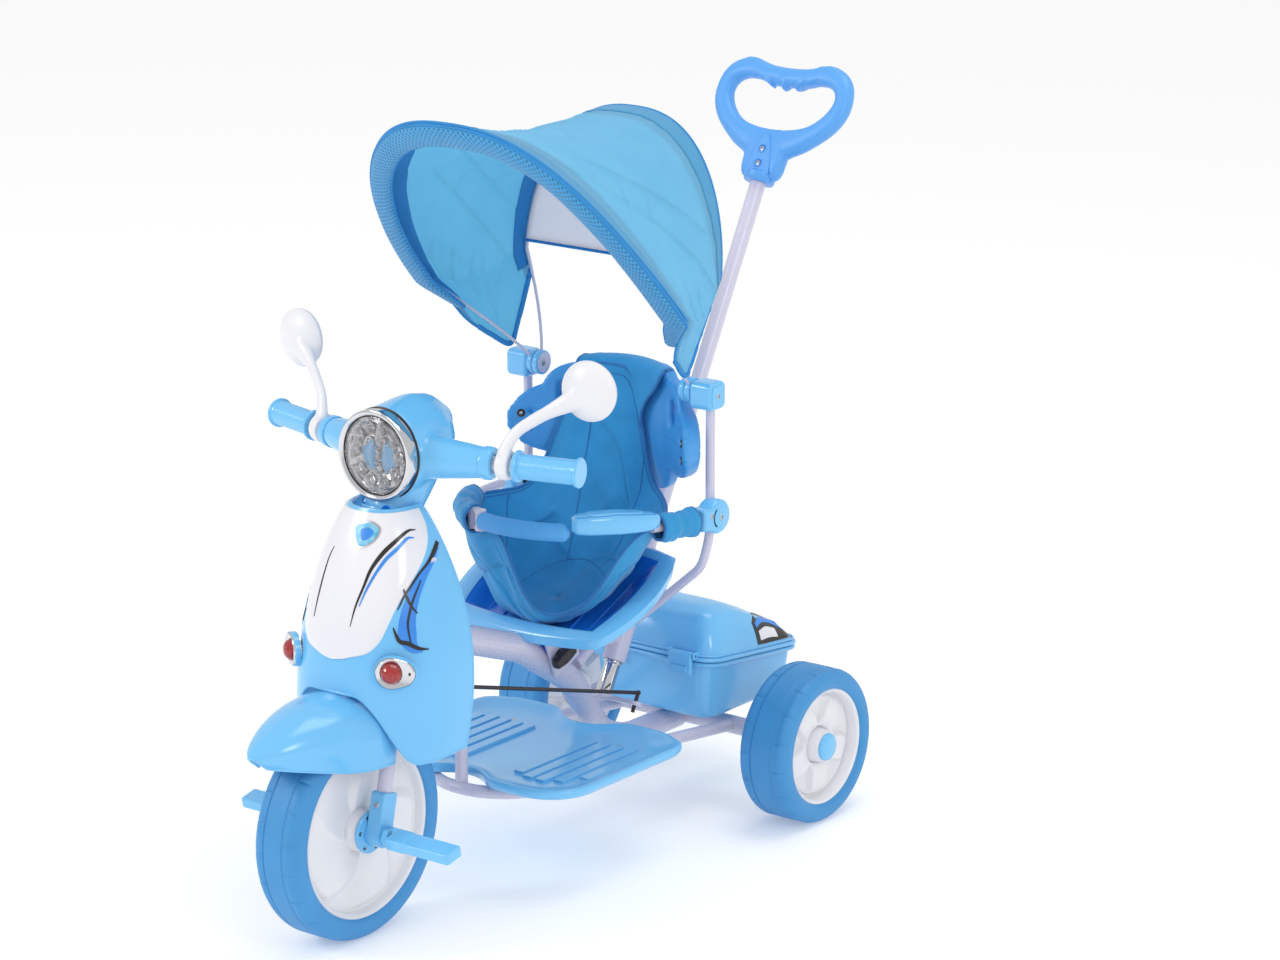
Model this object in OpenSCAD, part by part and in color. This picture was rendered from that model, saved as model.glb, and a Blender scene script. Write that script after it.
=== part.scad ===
// Children's tricycle in a scooter style, with a canopy, a guard ring and a push pole.
// The front of the tricycle faces -Y, its left side faces +X, and the floor is Z = 0.

/* [Wheels] */
// Distance between the front and the rear wheel centres
wheelbase = 663; // [640:1:680]
// Diameter of the front tyre
front_wheel_d = 270; // [264:1:274]
// Width of the front tyre
front_tyre_w = 68; // [60:1:70]
// Diameter of the rear tyres
rear_wheel_d = 202; // [196:1:208]
// Width of a rear tyre
rear_tyre_w = 74; // [66:1:76]
// Distance between the centre planes of the rear wheels
rear_track = 396; // [392:1:410]
// Thickness of the foam tyre outside the rim
tyre_h = 24; // [20:1:28]

/* [Steering] */
// Backward lean of the steering axis
rake = 13.2; // [12:0.1:14]
// Radius of the steering stem
stem_r = 12; // [10:0.5:13]
// Running clearance round every bearing
run_fit = 0.05; // [0.02:0.01:0.1]
// Half of the fork's width at its leg centres
fork_half = 47; // [46:0.5:50]
// Radius of a fork leg
fork_leg_r = 9; // [8:0.5:10]
// Half of the handlebar's span
bar_half = 233; // [220:1:240]
// Radius of the handlebar tube
bar_r = 11; // [10:0.5:12]
// Radius of a handlebar grip
grip_r = 15; // [14:0.5:16]
// Throw of the pedal cranks
crank_throw = 48; // [40:1:52]
// Length of a pedal
pedal_len = 96; // [80:1:98]

/* [Frame] */
// Outer radius of the spine tube
spine_r = 19; // [16:0.5:20]
// Outer radius of the lower loop tube
loop_r = 8; // [7:0.5:9]
// Half of the lower loop's width
loop_half = 84; // [80:1:90]
// Outer radius of the back leg tubes
leg_r = 6; // [5:0.5:7]

/* [Push pole] */
// Backward lean of the push pole
pole_lean = 28.4; // [27.5:0.1:29]
// Radius of the push pole tube
pole_r = 10.5; // [9:0.5:11]
// Length of the push pole from its bearing to the top of the handle
pole_len = 858; // [830:1:860]
// Arm of the steering lever on the foot of the pole
lever_arm = 52; // [48:1:56]
// Radius of the steering rod
rod_r = 2.5; // [2:0.25:3]

/* [Seat] */
// Half of the seat pan's width
seat_half = 140; // [130:1:145]
// Height of the guard ring
guard_z = 427; // [420:1:435]
// Half of the guard ring's width
guard_half = 150; // [145:1:155]
// Reach of the guard ring in front of its pivots
guard_reach = 230; // [215:1:240]

/* [Canopy] */
// Half of the front bow's width
front_bow_half = 204; // [185:1:208]
// Length of the front bow from its pivots to its crown
front_bow_len = 540; // [500:1:545]
// Forward lean of the front bow
front_bow_lean = 48; // [44:0.5:50]
// Half of the rear bow's width
rear_bow_half = 149; // [145:1:155]
// Length of the rear bow from its pivots to its crown
rear_bow_len = 332; // [320:1:345]
// Forward lean of the rear bow, negative to the rear
rear_bow_lean = -5; // [-8:0.5:-2]

/* [Storage box] */
// Half of the box's width
box_half = 104; // [94:1:106]
// Height of the rim of the box above the floor
box_rim_z = 205; // [195:1:215]
// Opening between the lid's fixed edge and the back of the box
box_depth = 196; // [176:1:200]

/* [Hidden] */
$fn = 48;

// The part's origin is on the floor under the middle of its length.
rear_axle_y = 290;
front_r = front_wheel_d / 2;
rear_r = rear_wheel_d / 2;
front_rim_r = front_r - tyre_h - 3;
rear_rim_r = rear_r - tyre_h;
axle_r = 5;
front_axle_r = 6;

// Colours
sky = [0.48, 0.76, 0.96];
deep_blue = [0.06, 0.36, 0.86];
foam_blue = [0.32, 0.60, 0.86];
cloth_blue = [0.20, 0.52, 0.78];
canopy_blue = [0.55, 0.80, 0.95];
white_paint = [0.90, 0.90, 0.94];
steel = [0.75, 0.76, 0.78];
black = [0.08, 0.08, 0.09];
red = [0.75, 0.08, 0.08];

// ---- Helpers ----

function unit(v) = v / norm(v);
function mix(a, b, t) = a * (1 - t) + b * t;
function mirrored(p) = [-p[0], p[1], p[2]];
// Quadratic bend round the corner b, starting r before it and ending r after it
function bend(a, b, c, r, n = 6) =
    let (s = b + unit(a - b) * r, e = b + unit(c - b) * r)
    [for (i = [0:n]) let (t = i / n) s * (1 - t) * (1 - t) + b * 2 * t * (1 - t) + e * t * t];
function rounded_path(p, r) =
    [p[0], for (i = [1:len(p) - 2]) each bend(p[i - 1], p[i], p[i + 1], r), p[len(p) - 1]];
function tangent(p, i) = unit(p[min(i + 1, len(p) - 1)] - p[max(i - 1, 0)]);
function ring(p, i, ref, ra, rb, sides) =
    let (t = tangent(p, i), s = unit(cross(t, ref)), n = cross(s, t))
    [for (k = [0:sides - 1]) p[i] + s * ra * cos(360 * k / sides) + n * rb * sin(360 * k / sides)];

// Closed solid through a stack of rings that have the same number of points
module skin(rings) {
    n = len(rings);
    m = len(rings[0]);
    sides = [
        for (i = [0:n - 2], k = [0:m - 1])
        let (a = i * m + k, b = i * m + (k + 1) % m, c = (i + 1) * m + (k + 1) % m, d = (i + 1) * m + k)
        each [[a, b, c], [a, c, d]]
    ];
    caps = [[for (k = [m - 1:-1:0]) k], [for (k = [0:m - 1]) (n - 1) * m + k]];
    polyhedron(points = [for (r = rings) each r], faces = concat(caps, sides), convexity = 6);
}

// Tube of radius r along a path; ref is never parallel to the path
module tube(path, ref, r, sides = 16, flat = 1) {
    skin([for (i = [0:len(path) - 1]) ring(path, i, ref, r, r * flat, sides)]);
}

// Closed sheet between two grids of points with the same size
module sheet(a, b, flip = false) {
    n = len(a);
    m = len(a[0]);
    o = n * m;
    quads = [
        for (i = [0:n - 2], j = [0:m - 2])
        let (p = i * m + j) [p, p + 1, p + m + 1, p + m],
        for (i = [0:n - 2], j = [0:m - 2])
        let (p = o + i * m + j) [p, p + m, p + m + 1, p + 1],
        for (j = [0:m - 2]) [j + 1, j, o + j, o + j + 1],
        for (j = [0:m - 2]) let (p = (n - 1) * m + j) [p, p + 1, o + p + 1, o + p],
        for (i = [0:n - 2]) let (p = i * m) [p, p + m, o + p + m, o + p],
        for (i = [0:n - 2]) let (p = i * m + m - 1) [p + m, p, o + p, o + p + m]
    ];
    tris = [for (q = quads) each [[q[0], q[1], q[2]], [q[0], q[2], q[3]]]];
    turned = flip ? [for (t = tris) [t[2], t[1], t[0]]] : tris;
    polyhedron(points = concat([for (r = a) each r], [for (r = b) each r]), faces = turned, convexity = 6);
}

// Moves a piece from the rear axle's frame to the part's frame
module place() {
    translate([0, rear_axle_y, 0]) children();
}

// Frame on the front wheel's centre, with Z along the steering axis
module steer() {
    place() translate([0, -wheelbase, front_r]) rotate([-rake, 0, 0]) children();
}

// Frame at the foot of the push pole, with Z along the pole
pole_foot_y = -164.6;
pole_foot_z = 177;
module pole() {
    place() translate([0, pole_foot_y, pole_foot_z]) rotate([-pole_lean, 0, 0]) children();
}

// Rounded rectangle centred on the origin
module rounded(w, l, r) {
    square([w - 2 * r, l], center = true);
    square([w, l - 2 * r], center = true);
    for (x = [-1, 1], y = [-1, 1]) translate([x * (w / 2 - r), y * (l / 2 - r)]) circle(r);
}

// Cylinder along X from x0 to x1
module rod_x(x0, x1, r) {
    translate([x0, 0, 0]) rotate([0, 90, 0]) cylinder(r = r, h = x1 - x0);
}

// Grid over the square -1..1, and its map onto a rectangle with rounded corners
function steps(n) = [for (i = [0:n]) 2 * i / n - 1];
function round_x(u, v, k) = u * sqrt(1 - k * v * v / 2);

// ---- Frame ----

spine_low_r = 16;
head_tube_from = 195;
head_tube_to = 300;
spine_points = [[0, -604, 345], [0, -461, 319], [0, -336, 274], [0, -236, 208], [0, -176, 122],
                [0, -124, 101], [0, -11, 101]];
saddle_angle = atan2(66, 100);
module spine() {
    path = rounded_path(spine_points, 24);
    color(white_paint) difference() {
        union() {
            place() skin([for (i = [0:len(path) - 1])
                let (r = mix(spine_r, spine_low_r, i / (len(path) - 1))) ring(path, i, [1, 0, 0], r, r, 24)]);
            steer() translate([0, 0, head_tube_from])
                cylinder(r = spine_r + 1, h = head_tube_to - head_tube_from);
        }
        steer() translate([0, 0, head_tube_from - 5])
            cylinder(r = stem_r + run_fit, h = head_tube_to - head_tube_from + 10);
    }
}

loop_z = 125;
loop_bend_y = -385;
strut_y = -452;
module lower_loop() {
    front = [for (a = [0:12:180]) [loop_half * cos(a), loop_bend_y - 72 * sin(a), loop_z]];
    path = concat([[loop_half, -10, 103], [loop_half, -200, loop_z]], front,
                  [[-loop_half, -200, loop_z], [-loop_half, -10, 103]]);
    color(white_paint) place() {
        tube(path, [0, 0, 1], loop_r);
        translate([0, strut_y, loop_z + loop_r - 3]) cylinder(r = loop_r, h = 170);
    }
}

module rear_axle_tube() {
    color(white_paint) place() translate([0, 0, rear_r]) difference() {
        rod_x(-145, 145, 12);
        rod_x(-150, 150, axle_r);
    }
}

sleeve_from = 37;
sleeve_to = 114;
module pole_sleeve() {
    color(white_paint) difference() {
        union() {
            pole() translate([0, 0, sleeve_from]) cylinder(r = 15, h = sleeve_to - sleeve_from);
            place() tube([[0, -226, 226], [0, -188, 246], [0, -128, 238]], [1, 0, 0], 9);
        }
        pole() translate([0, 0, sleeve_from - 5])
            cylinder(r = pole_r + run_fit, h = sleeve_to - sleeve_from + 10);
    }
}

leg_x = 145;
leg_y = -137;
leg_points = [[leg_x, leg_y, 572], [leg_x, leg_y, 400], [leg_x - 12, leg_y, 356], [60, -126, 296], [16, -120, 260]];
module back_leg(side) {
    path = rounded_path(leg_points, 16);
    color(white_paint) place()
        tube([for (p = path) side > 0 ? p : mirrored(p)], [0, 1, 0], leg_r, 12);
}
module back_leg_left() {
    back_leg(1);
}
module back_leg_right() {
    back_leg(-1);
}

// ---- Seat ----

seat_front_y = -347;
seat_rear_y = -160;
function seat_rim_z(y) = 302 + 0.43 * (y - seat_front_y);
saddle_half = 22;
knob_y = -286;
knob_z = 256;
seat_mid_y = (seat_front_y + seat_rear_y) / 2;
seat_half_l = (seat_rear_y - seat_front_y) / 2;
function seat_point(u, v, drop) =
    let (y = seat_mid_y + seat_half_l * round_x(v, u, 0.55), edge = max(abs(u), abs(v)))
    [seat_half * round_x(u, v, 0.55), y, seat_rim_z(y) - 20 * (1 - pow(edge, 5)) - drop];
module seat_pan() {
    top = [for (u = steps(16)) [for (v = steps(12)) seat_point(u, v, 0)]];
    bottom = [for (u = steps(16)) [for (v = steps(12)) seat_point(u, v, 7)]];
    color(sky) place() {
        sheet(top, bottom);
        // Saddle between the pan and the spine, with the stud of its clamp
        difference() {
            translate([-saddle_half, -306, 234]) cube([2 * saddle_half, 56, 68]);
            translate([0, -336, 274]) rotate([-90 - saddle_angle, 0, 0])
                translate([0, 0, -30]) cylinder(r = 17.3, h = 200);
        }
        translate([0, knob_y, knob_z]) rod_x(saddle_half - 1, saddle_half + 12, 3);
    }
}

// Slightly forward curved shell behind the back, with an ear on each side
back_axis_y = -289;
back_in_r = 175;
back_out_r = 195;
module backrest() {
    color(sky) place() intersection() {
        translate([0, back_axis_y, 430]) difference() {
            cylinder(r = back_out_r, h = 180, $fn = 96);
            translate([0, 0, -1]) cylinder(r = back_in_r, h = 182, $fn = 96);
        }
        translate([0, -100, 0]) rotate([90, 0, 0]) linear_extrude(150) difference() {
            union() {
                translate([0, 520]) rounded(150, 156, 22);
                for (x = [-1, 1]) {
                    translate([x * 97, 514]) circle(45);
                    translate([x * 78, 552]) circle(32);
                }
            }
            for (x = [-1, 1]) {
                translate([x * 88, 546]) rounded(16, 36, 7.5);
                translate([x * 122, 522]) circle(4);
                translate([x * 122, 500]) circle(4);
            }
        }
    }
}

// Cloth bucket inside the guard ring: a = 0 is the back, and v runs from the floor to the rim
cloth_t = 4;
cloth_floor_r = 44;
cloth_axis_y = -264;
function smooth(t) = let (q = min(1, max(0, t))) q * q * (3 - 2 * q);
function cloth_floor_z(y) = seat_rim_z(y) - 17;
function cloth_rim_z(a) =
    426 + 166 * (1 - smooth((abs(a) - 24) / 20)) - 116 * smooth((abs(a) - 95) / 70);
function cloth_rim_r(a) = 144 - 10 * smooth((abs(a) - 60) / 30) - 68 * smooth((abs(a) - 90) / 90);
function cloth_point(a, v, inset) =
    let (
        r = mix(cloth_floor_r, cloth_rim_r(a), pow(v, 0.6)) - inset,
        y = cloth_axis_y + r * cos(a),
        floor_z = cloth_floor_z(y)
    )
    [r * sin(a), y, mix(floor_z, cloth_rim_z(a), pow(v, 1.6)) + inset * (1 - v)];
module seat_cloth() {
    around = [for (a = [-180:10:170]) a];
    levels = [for (v = [0:1 / 7:1.01]) v];
    out = [for (v = levels) [for (a = around) cloth_point(a, v, 0)]];
    back_in = [for (i = [len(levels) - 1:-1:0]) [for (a = around) cloth_point(a, levels[i], cloth_t)]];
    color(cloth_blue) place() skin(concat(out, back_in));
}

module seat_knob() {
    color(black) place() translate([saddle_half + 0.4, knob_y, knob_z]) difference() {
        union() {
            rod_x(0, 6, 9);
            rotate([20, 0, 0]) translate([4, -18, -5]) cube([9, 36, 10]);
        }
        rod_x(-1, 11.8, 3 + run_fit);
    }
}

// ---- Footrest ----

tray_half = 164;
tray_z = 134;
module tray_outline(inset) {
    difference() {
        union() {
            translate([0, -325]) rounded(2 * (tray_half - inset), 2 * (138 - inset), 60);
            for (x = [-1, 1]) translate([x * (tray_half - 48 - inset), -232]) rounded(96, 2 * (28 - inset), 12);
        }
        translate([0, -495 - inset]) circle(56);
        translate([0, -165 + inset]) circle(56);
    }
}
module footrest() {
    color(sky) place() translate([0, 0, tray_z]) {
        difference() {
            linear_extrude(14) tray_outline(0);
            translate([0, 0, 4]) linear_extrude(14) tray_outline(5);
        }
        for (x = [-1, 1], i = [0:4]) translate([x * (52 + 20 * i) - 2, -400, 3]) cube([4, 150, 4]);
    }
}

// ---- Storage box ----

box_y0 = -76;
latch_x = 60;
latch_w = 36;
box_y1 = box_y0 + box_depth + 6;
box_mid_y = (box_y0 + box_y1) / 2;
box_floor_z = 124;
rim_slope = 6;
module above_rim(gap) {
    translate([0, box_y0, box_rim_z + gap]) rotate([-rim_slope, 0, 0])
        translate([-200, -100, 0]) cube([400, 500, 300]);
}
hinge_y = box_y1 + 7;
hinge_z = box_rim_z - (box_y1 - box_y0 + 7) * tan(rim_slope);
module storage_box() {
    color(sky) place() {
        difference() {
            translate([0, box_mid_y, box_floor_z]) linear_extrude(120)
                rounded(2 * box_half - 12, box_y1 - box_y0 - 8, 24);
            translate([0, box_mid_y, box_floor_z + 3]) linear_extrude(120)
                rounded(2 * box_half - 18, box_y1 - box_y0 - 14, 21);
            above_rim(0);
        }
        // Hinge lugs
        for (x = [-1, 1]) translate([x * 40 - 6, hinge_y, hinge_z]) difference() {
            union() {
                rod_x(0, 12, 5);
                translate([0, -13, -5]) cube([12, 13, 5]);
            }
            rod_x(-1, 13, 2);
        }
    }
}
module lid_block(inset) {
    hull() {
        translate([0, box_mid_y, box_rim_z - 40]) linear_extrude(40)
            rounded(2 * (box_half - inset), box_y1 - box_y0 - 2 * inset, 26 - inset, $fn = 32);
        translate([0, box_y0 + 50, 244 - inset]) linear_extrude(10)
            rounded(2 * (box_half - 16 - inset), 76 - 2 * inset, 22, $fn = 32);
        translate([0, box_y0 + 66, 262 - inset]) linear_extrude(8)
            rounded(2 * (box_half - 34 - inset), 60 - 2 * inset, 18, $fn = 32);
        translate([0, box_y1 - 46, 218 - inset]) linear_extrude(10)
            rounded(2 * (box_half - 26 - inset), 50 - 2 * inset, 16, $fn = 32);
    }
}
module box_lid() {
    color(sky) place() {
        intersection() {
            difference() {
                lid_block(0);
                lid_block(3);
            }
            above_rim(0.5);
        }
        // Latch pins and their ears
        for (x = [-1, 1]) translate([x * latch_x, box_y0 - 5, box_rim_z + 9]) {
            rod_x(-latch_w / 2 - 4, latch_w / 2 + 4, 1.5);
            for (ear = [-latch_w / 2 - 4, latch_w / 2 + 0.5]) translate([ear, -3, -3]) cube([3.5, 10, 6]);
        }
        // Hinge knuckles
        for (x = [-1, 1]) translate([x * 40 + (x > 0 ? 6.4 : -18.4), hinge_y, hinge_z]) difference() {
            union() {
                rod_x(0, 12, 5);
                translate([0, -10, 1]) cube([12, 10, 5]);
            }
            rod_x(-1, 13, 2 + run_fit);
        }
    }
}
module lid_badge() {
    color(steel) place() translate([0, box_y1 - 46, 228.2]) linear_extrude(4) rounded(34, 18, 8.5);
}
module hinge_pin() {
    color(steel) place() translate([0, hinge_y, hinge_z]) rod_x(-62, 62, 2);
}
module box_latch(side) {
    color(sky) place() translate([side * latch_x - latch_w / 2, box_y0 - 5, box_rim_z + 9]) difference() {
        union() {
            rod_x(0, latch_w, 4);
            translate([0, -4, -25]) cube([latch_w, 4, 25]);
        }
        rod_x(-1, latch_w + 1, 1.5 + run_fit);
    }
}
module box_latch_left() {
    box_latch(1);
}
module box_latch_right() {
    box_latch(-1);
}

// ---- Wheels ----

// Tyre section: flat tread with round shoulders, between the rim and the tread
module tyre_section(r_in, r_out, w, shoulder) {
    translate([r_in, 0]) difference() {
        union() {
            translate([0, -w / 2]) square([r_out - r_in - shoulder, w]);
            translate([0, -(w / 2 - shoulder)]) square([r_out - r_in, w - 2 * shoulder]);
            for (y = [-1, 1]) translate([r_out - r_in - shoulder, y * (w / 2 - shoulder)]) circle(shoulder);
        }
        translate([-2 * shoulder, -w]) square([2 * shoulder, 2 * w]);
    }
}
module tyre(r_out, w, r_in, shoulder) {
    rotate([0, 90, 0]) rotate_extrude($fn = 96) tyre_section(r_in, r_out, w, shoulder);
}
// Rim: barrel, hub and a pierced web, with its bore along X
module rim(r, w, hub_r, hub_half, bore, windows) {
    window_at = mix(hub_r, r - 6, 0.56);
    window_r = min((r - 6 - hub_r) / 2 - 4, window_at * sin(180 / windows) - 4);
    difference() {
        rotate([0, 90, 0]) rotate_extrude($fn = 96) difference() {
            union() {
                translate([r - 6, -w / 2]) square([6, w]);
                translate([0, -5]) square([r - 3, 10]);
                translate([0, -hub_half]) square([hub_r, 2 * hub_half]);
            }
            translate([-1, -hub_half - 1]) square([bore + 1, 2 * hub_half + 2]);
        }
        for (i = [0:windows - 1]) rotate([360 * i / windows, 0, 0])
            translate([-20, 0, window_at]) rotate([0, 90, 0]) cylinder(r = window_r, h = 40);
    }
}
module rear_wheel(side) {
    place() translate([side * rear_track / 2, 0, rear_r]) children();
}
module rear_axle() {
    color(steel) place() translate([0, 0, rear_r]) rod_x(-rear_track / 2 - 34, rear_track / 2 + 34, axle_r);
}
module rear_tyre(side) {
    color(foam_blue) rear_wheel(side) tyre(rear_r, rear_tyre_w, rear_rim_r, 14);
}
module rear_rim(side) {
    color(white_paint) rear_wheel(side) rim(rear_rim_r, rear_tyre_w - 8, 20, 33, axle_r + run_fit, 6);
}
module hub_cap(side) {
    color(sky) rear_wheel(side) rotate([0, 0, side > 0 ? 0 : 180]) translate([33, 0, 0]) difference() {
        rod_x(0, 7, 18);
        rod_x(-1, 3, 8);
    }
}
module rear_tyre_left() {
    rear_tyre(1);
}
module rear_rim_left() {
    rear_rim(1);
}
module hub_cap_left() {
    hub_cap(1);
}
module rear_tyre_right() {
    rear_tyre(-1);
}
module rear_rim_right() {
    rear_rim(-1);
}
module hub_cap_right() {
    hub_cap(-1);
}

module front_wheel() {
    place() translate([0, -wheelbase, front_r]) children();
}
module front_tyre() {
    color(foam_blue) front_wheel() tyre(front_r, front_tyre_w, front_rim_r, 16);
}
module front_rim() {
    color(white_paint) front_wheel() rim(front_rim_r, front_tyre_w - 6, 24, 33, front_axle_r, 7);
}

// Crank throw: the left crank points forward and up, the right one backward and down.
crank_lift = 25;
crank_y = -crank_throw * cos(crank_lift);
crank_z = crank_throw * sin(crank_lift);
pedal_from = 106;
module cranks() {
    color(sky) front_wheel() {
        rod_x(-60, 60, front_axle_r);
        for (side = [-1, 1]) {
            rotate([0, 0, side > 0 ? 0 : 180]) mirror([0, 0, side > 0 ? 0 : 1]) {
                rod_x(60, 74, 13);
                hull() {
                    rod_x(64, 72, 8, $fn = 24);
                    translate([0, crank_y, crank_z]) rod_x(90, 100, 8, $fn = 24);
                }
                translate([0, crank_y, crank_z]) rod_x(96, pedal_from + pedal_len - 4, 4);
            }
        }
    }
}
module pedal(side) {
    color(sky) front_wheel() rotate([0, 0, side > 0 ? 0 : 180]) mirror([0, 0, side > 0 ? 0 : 1])
        translate([pedal_from, crank_y, crank_z]) difference() {
            rotate([12, 0, 0]) translate([0, -14, -7]) cube([pedal_len, 28, 14]);
            rod_x(-1, pedal_len - 4 + run_fit, 4 + run_fit);
        }
}
module pedal_left() {
    pedal(1);
}
module pedal_right() {
    pedal(-1);
}

// ---- Fork, mudguard and shield ----

crown_from = front_r + 8;
crown_to = front_r + 18;
lug_from = front_r + 33;
lug_to = lug_from + 3;
stem_top = 445;
shield_bar_half = 75;
guard_bracket = 24;
module fork() {
    color(white_paint) steer() {
        for (x = [-1, 1]) translate([x * fork_half, 0, 16]) cylinder(r = fork_leg_r, h = crown_to - 16);
        translate([-fork_half - fork_leg_r, -10, crown_from]) cube([2 * (fork_half + fork_leg_r), 20, 10]);
        translate([0, 0, crown_from]) cylinder(r = stem_r, h = stem_top - crown_from);
        // Bar that carries the shield, and bracket that carries the mudguard
        translate([0, 0, 332]) rod_x(-shield_bar_half, shield_bar_half, 5);
        translate([-12, -30, crown_from]) cube([24, 24, 4]);
        translate([-12, -34, crown_from]) cube([24, 4, guard_bracket]);
        // Lug for the steering rod
        difference() {
            translate([0, -9, lug_from]) cube([lever_arm + 9, 18, 3]);
            translate([lever_arm, 0, lug_from - 1]) cylinder(r = rod_r + 2.2, h = 5);
        }
    }
}
module dropout(side) {
    color(sky) steer() difference() {
        translate([side * fork_half - 9, 0, 0]) union() {
            rod_x(0, 20, 15);
            translate([0, -13, 0]) cube([20, 26, 52]);
        }
        translate([side * fork_half, 0, 16]) cylinder(r = fork_leg_r, h = 100);
        rod_x(-100, 100, front_axle_r + run_fit);
    }
}
module dropout_left() {
    dropout(1);
}
module dropout_right() {
    dropout(-1);
}

// Mudguard: a dome over the front wheel, from a raised nose to a level skirt
nose_angle = 38;
tail_angle = 96;
function from_tail(a) = (tail_angle - a) / (tail_angle - nose_angle);
function guard_wide(a) = 67 * sqrt(1 - 0.985 * pow(from_tail(a), 2.5));
function guard_skirt(a) = (91 + 23 * pow(from_tail(a), 4)) / sin(a);
function guard_point(a, t, inset) =
    let (
        crown = 169 + 45 * pow(from_tail(a), 1.4) - inset,
        side = min(guard_skirt(a), crown - 15),
        r = side + (crown - side) * pow(cos(t), 0.55),
        x = (guard_wide(a) - inset) * sin(t)
    )
    [x, -wheelbase - r * cos(a), front_r + r * sin(a)];
module mudguard() {
    along = [for (k = [0:12]) mix(nose_angle, tail_angle, k / 12)];
    across = [for (t = [-90:9:90]) t];
    outer = [for (a = along) [for (t = across) guard_point(a, t, 0)]];
    inner = [for (a = along) [for (t = across) guard_point(a, t, 3)]];
    color(sky) place() sheet(outer, inner, true);
}

// Shield: level sections that open to the rear, over the mudguard
shield_top = 520;
shield_low = 213;
function shield_half(h) = 42 + 66 * sin(180 * pow(1 - h, 0.8) * 0.62);
function shield_front(h) = -628 - 62 * pow(sin(90 * min(1, (1 - h) * 1.35)), 0.9);
function shield_back(h) = -572 + 18 * sin(180 * (1 - h));
function shield_edge(t) =
    let (q = min(1, max(0, (abs(t) - 12) / 48)))
    314 - 88 * q * q * (3 - 2 * q) + 5 * max(0, (abs(t) - 68) / 22);
function shield_point(t, z, inset) =
    let (
        h = (z - shield_low) / (shield_top - shield_low),
        s = sin(t),
        c = cos(t),
        half = shield_half(h) - inset,
        front = shield_front(h) + inset,
        x = half * sign(s) * pow(abs(s), 0.8),
        y = shield_back(h) - (shield_back(h) - front) * pow(abs(c), 0.8)
    )
    [x, y, z];
module shield() {
    round_front = [for (t = [-90:7.5:90]) t];
    up = [for (v = [0:0.1:1]) v];
    level = function(t, v) mix(shield_edge(t), shield_top, v);
    outer = [for (t = round_front) [for (v = up) shield_point(t, level(t, v), 0)]];
    inner = [for (t = round_front) [for (v = up) shield_point(t, level(t, v), 3)]];
    color(sky) place() sheet(outer, inner);
}
panel_reach = [[352, 4], [356, 12], [365, 25], [394, 36], [425, 47], [446, 60], [465, 73], [480, 82], [515, 86]];
module shield_panel() {
    across = [for (t = [-1:0.1:1]) t];
    up = [for (reach = panel_reach) reach[0]];
    point = function(t, z, out) shield_point(t * lookup(z, panel_reach), z, -out);
    outer = [for (t = across) [for (z = up) point(t, z, 2)]];
    inner = [for (t = across) [for (z = up) point(t, z, 0.5)]];
    color("white") place() sheet(outer, inner);
}

// Indicator lamps on the shield's cheeks
module cheek(side) {
    place() translate([side * 76, -668, 342]) rotate([90, 0, side * 34]) children();
}
module lamp_bezels() {
    color(steel) for (side = [-1, 1]) cheek(side) difference() {
        translate([0, 0, -4]) cylinder(r1 = 21, r2 = 17, h = 12);
        translate([0, 0, -5]) cylinder(r = 13, h = 14);
    }
}
module lamp_lenses() {
    color(red) for (side = [-1, 1]) cheek(side) intersection() {
        translate([0, 0, -4]) cylinder(r = 12.9, h = 20);
        translate([0, 0, -10]) sphere(r = 24);
    }
}

// ---- Head and handlebar ----

lamp_y = -603;
lamp_z = 578;
lamp_r = 54;
bar_mid = [0, -572, 575];
bar_end = [bar_half, -510.6, 572];
bar_turn = atan2(bar_end[1] - bar_mid[1], bar_half);
module bar_frame(side) {
    place() translate(bar_mid) rotate([0, 0, side > 0 ? bar_turn : 180 - bar_turn]) children();
}
module head_form(inset) {
    hull() {
        place() translate([0, lamp_y + 14, lamp_z]) rotate([-90, 0, 0]) cylinder(r = lamp_r + 1 - inset, h = 24, $fn = 32);
        place() translate([0, -535, 588]) sphere(r = 52 - inset, $fn = 32);
        place() translate([0, -512, 584]) sphere(r = 32 - inset, $fn = 32);
    }
    hull() {
        place() translate([0, -545, 572]) sphere(r = 44 - inset, $fn = 32);
        place() translate([0, -582, 512]) rotate([-rake, 0, 0]) translate([0, 0, inset * 0.01])
            cylinder(r = 38 - inset, h = 10, $fn = 32);
    }
}
module head_shell() {
    color(sky) difference() {
        union() {
            head_form(0);
            for (side = [-1, 1]) bar_frame(side) rotate([0, 90, 0]) cylinder(r1 = 30, r2 = 17, h = 128);
        }
        head_form(3.5);
        // Ring seat, neck and bar passages
        place() translate([0, lamp_y - 40, lamp_z]) rotate([-90, 0, 0]) cylinder(r = lamp_r + 1.2, h = 54.3);
        place() translate([0, lamp_y, lamp_z]) rotate([-90, 0, 0]) cylinder(r = lamp_r - 5, h = 50);
        place() translate([0, -586, 490]) rotate([-rake, 0, 0]) cylinder(r = 33, h = 40);
        for (side = [-1, 1]) bar_frame(side) rotate([0, 90, 0]) cylinder(r = bar_r, h = 140);
    }
}
module ring_section() {
    translate([lamp_r - 8, 0]) difference() {
        square([9, 18]);
        translate([-1, -1]) square([4, 14]);
    }
}
module headlight_ring() {
    color(steel) place() translate([0, lamp_y + 14, lamp_z]) rotate([90, 0, 0])
        rotate_extrude($fn = 96) ring_section();
}
module headlight_reflector() {
    color("silver") place() translate([0, lamp_y + 13, lamp_z]) rotate([90, 0, 0]) difference() {
        cylinder(r1 = lamp_r - 14, r2 = lamp_r - 5.5, h = 12);
        translate([0, 0, 2]) cylinder(r1 = lamp_r - 18, r2 = lamp_r - 8, h = 11);
    }
}
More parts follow.
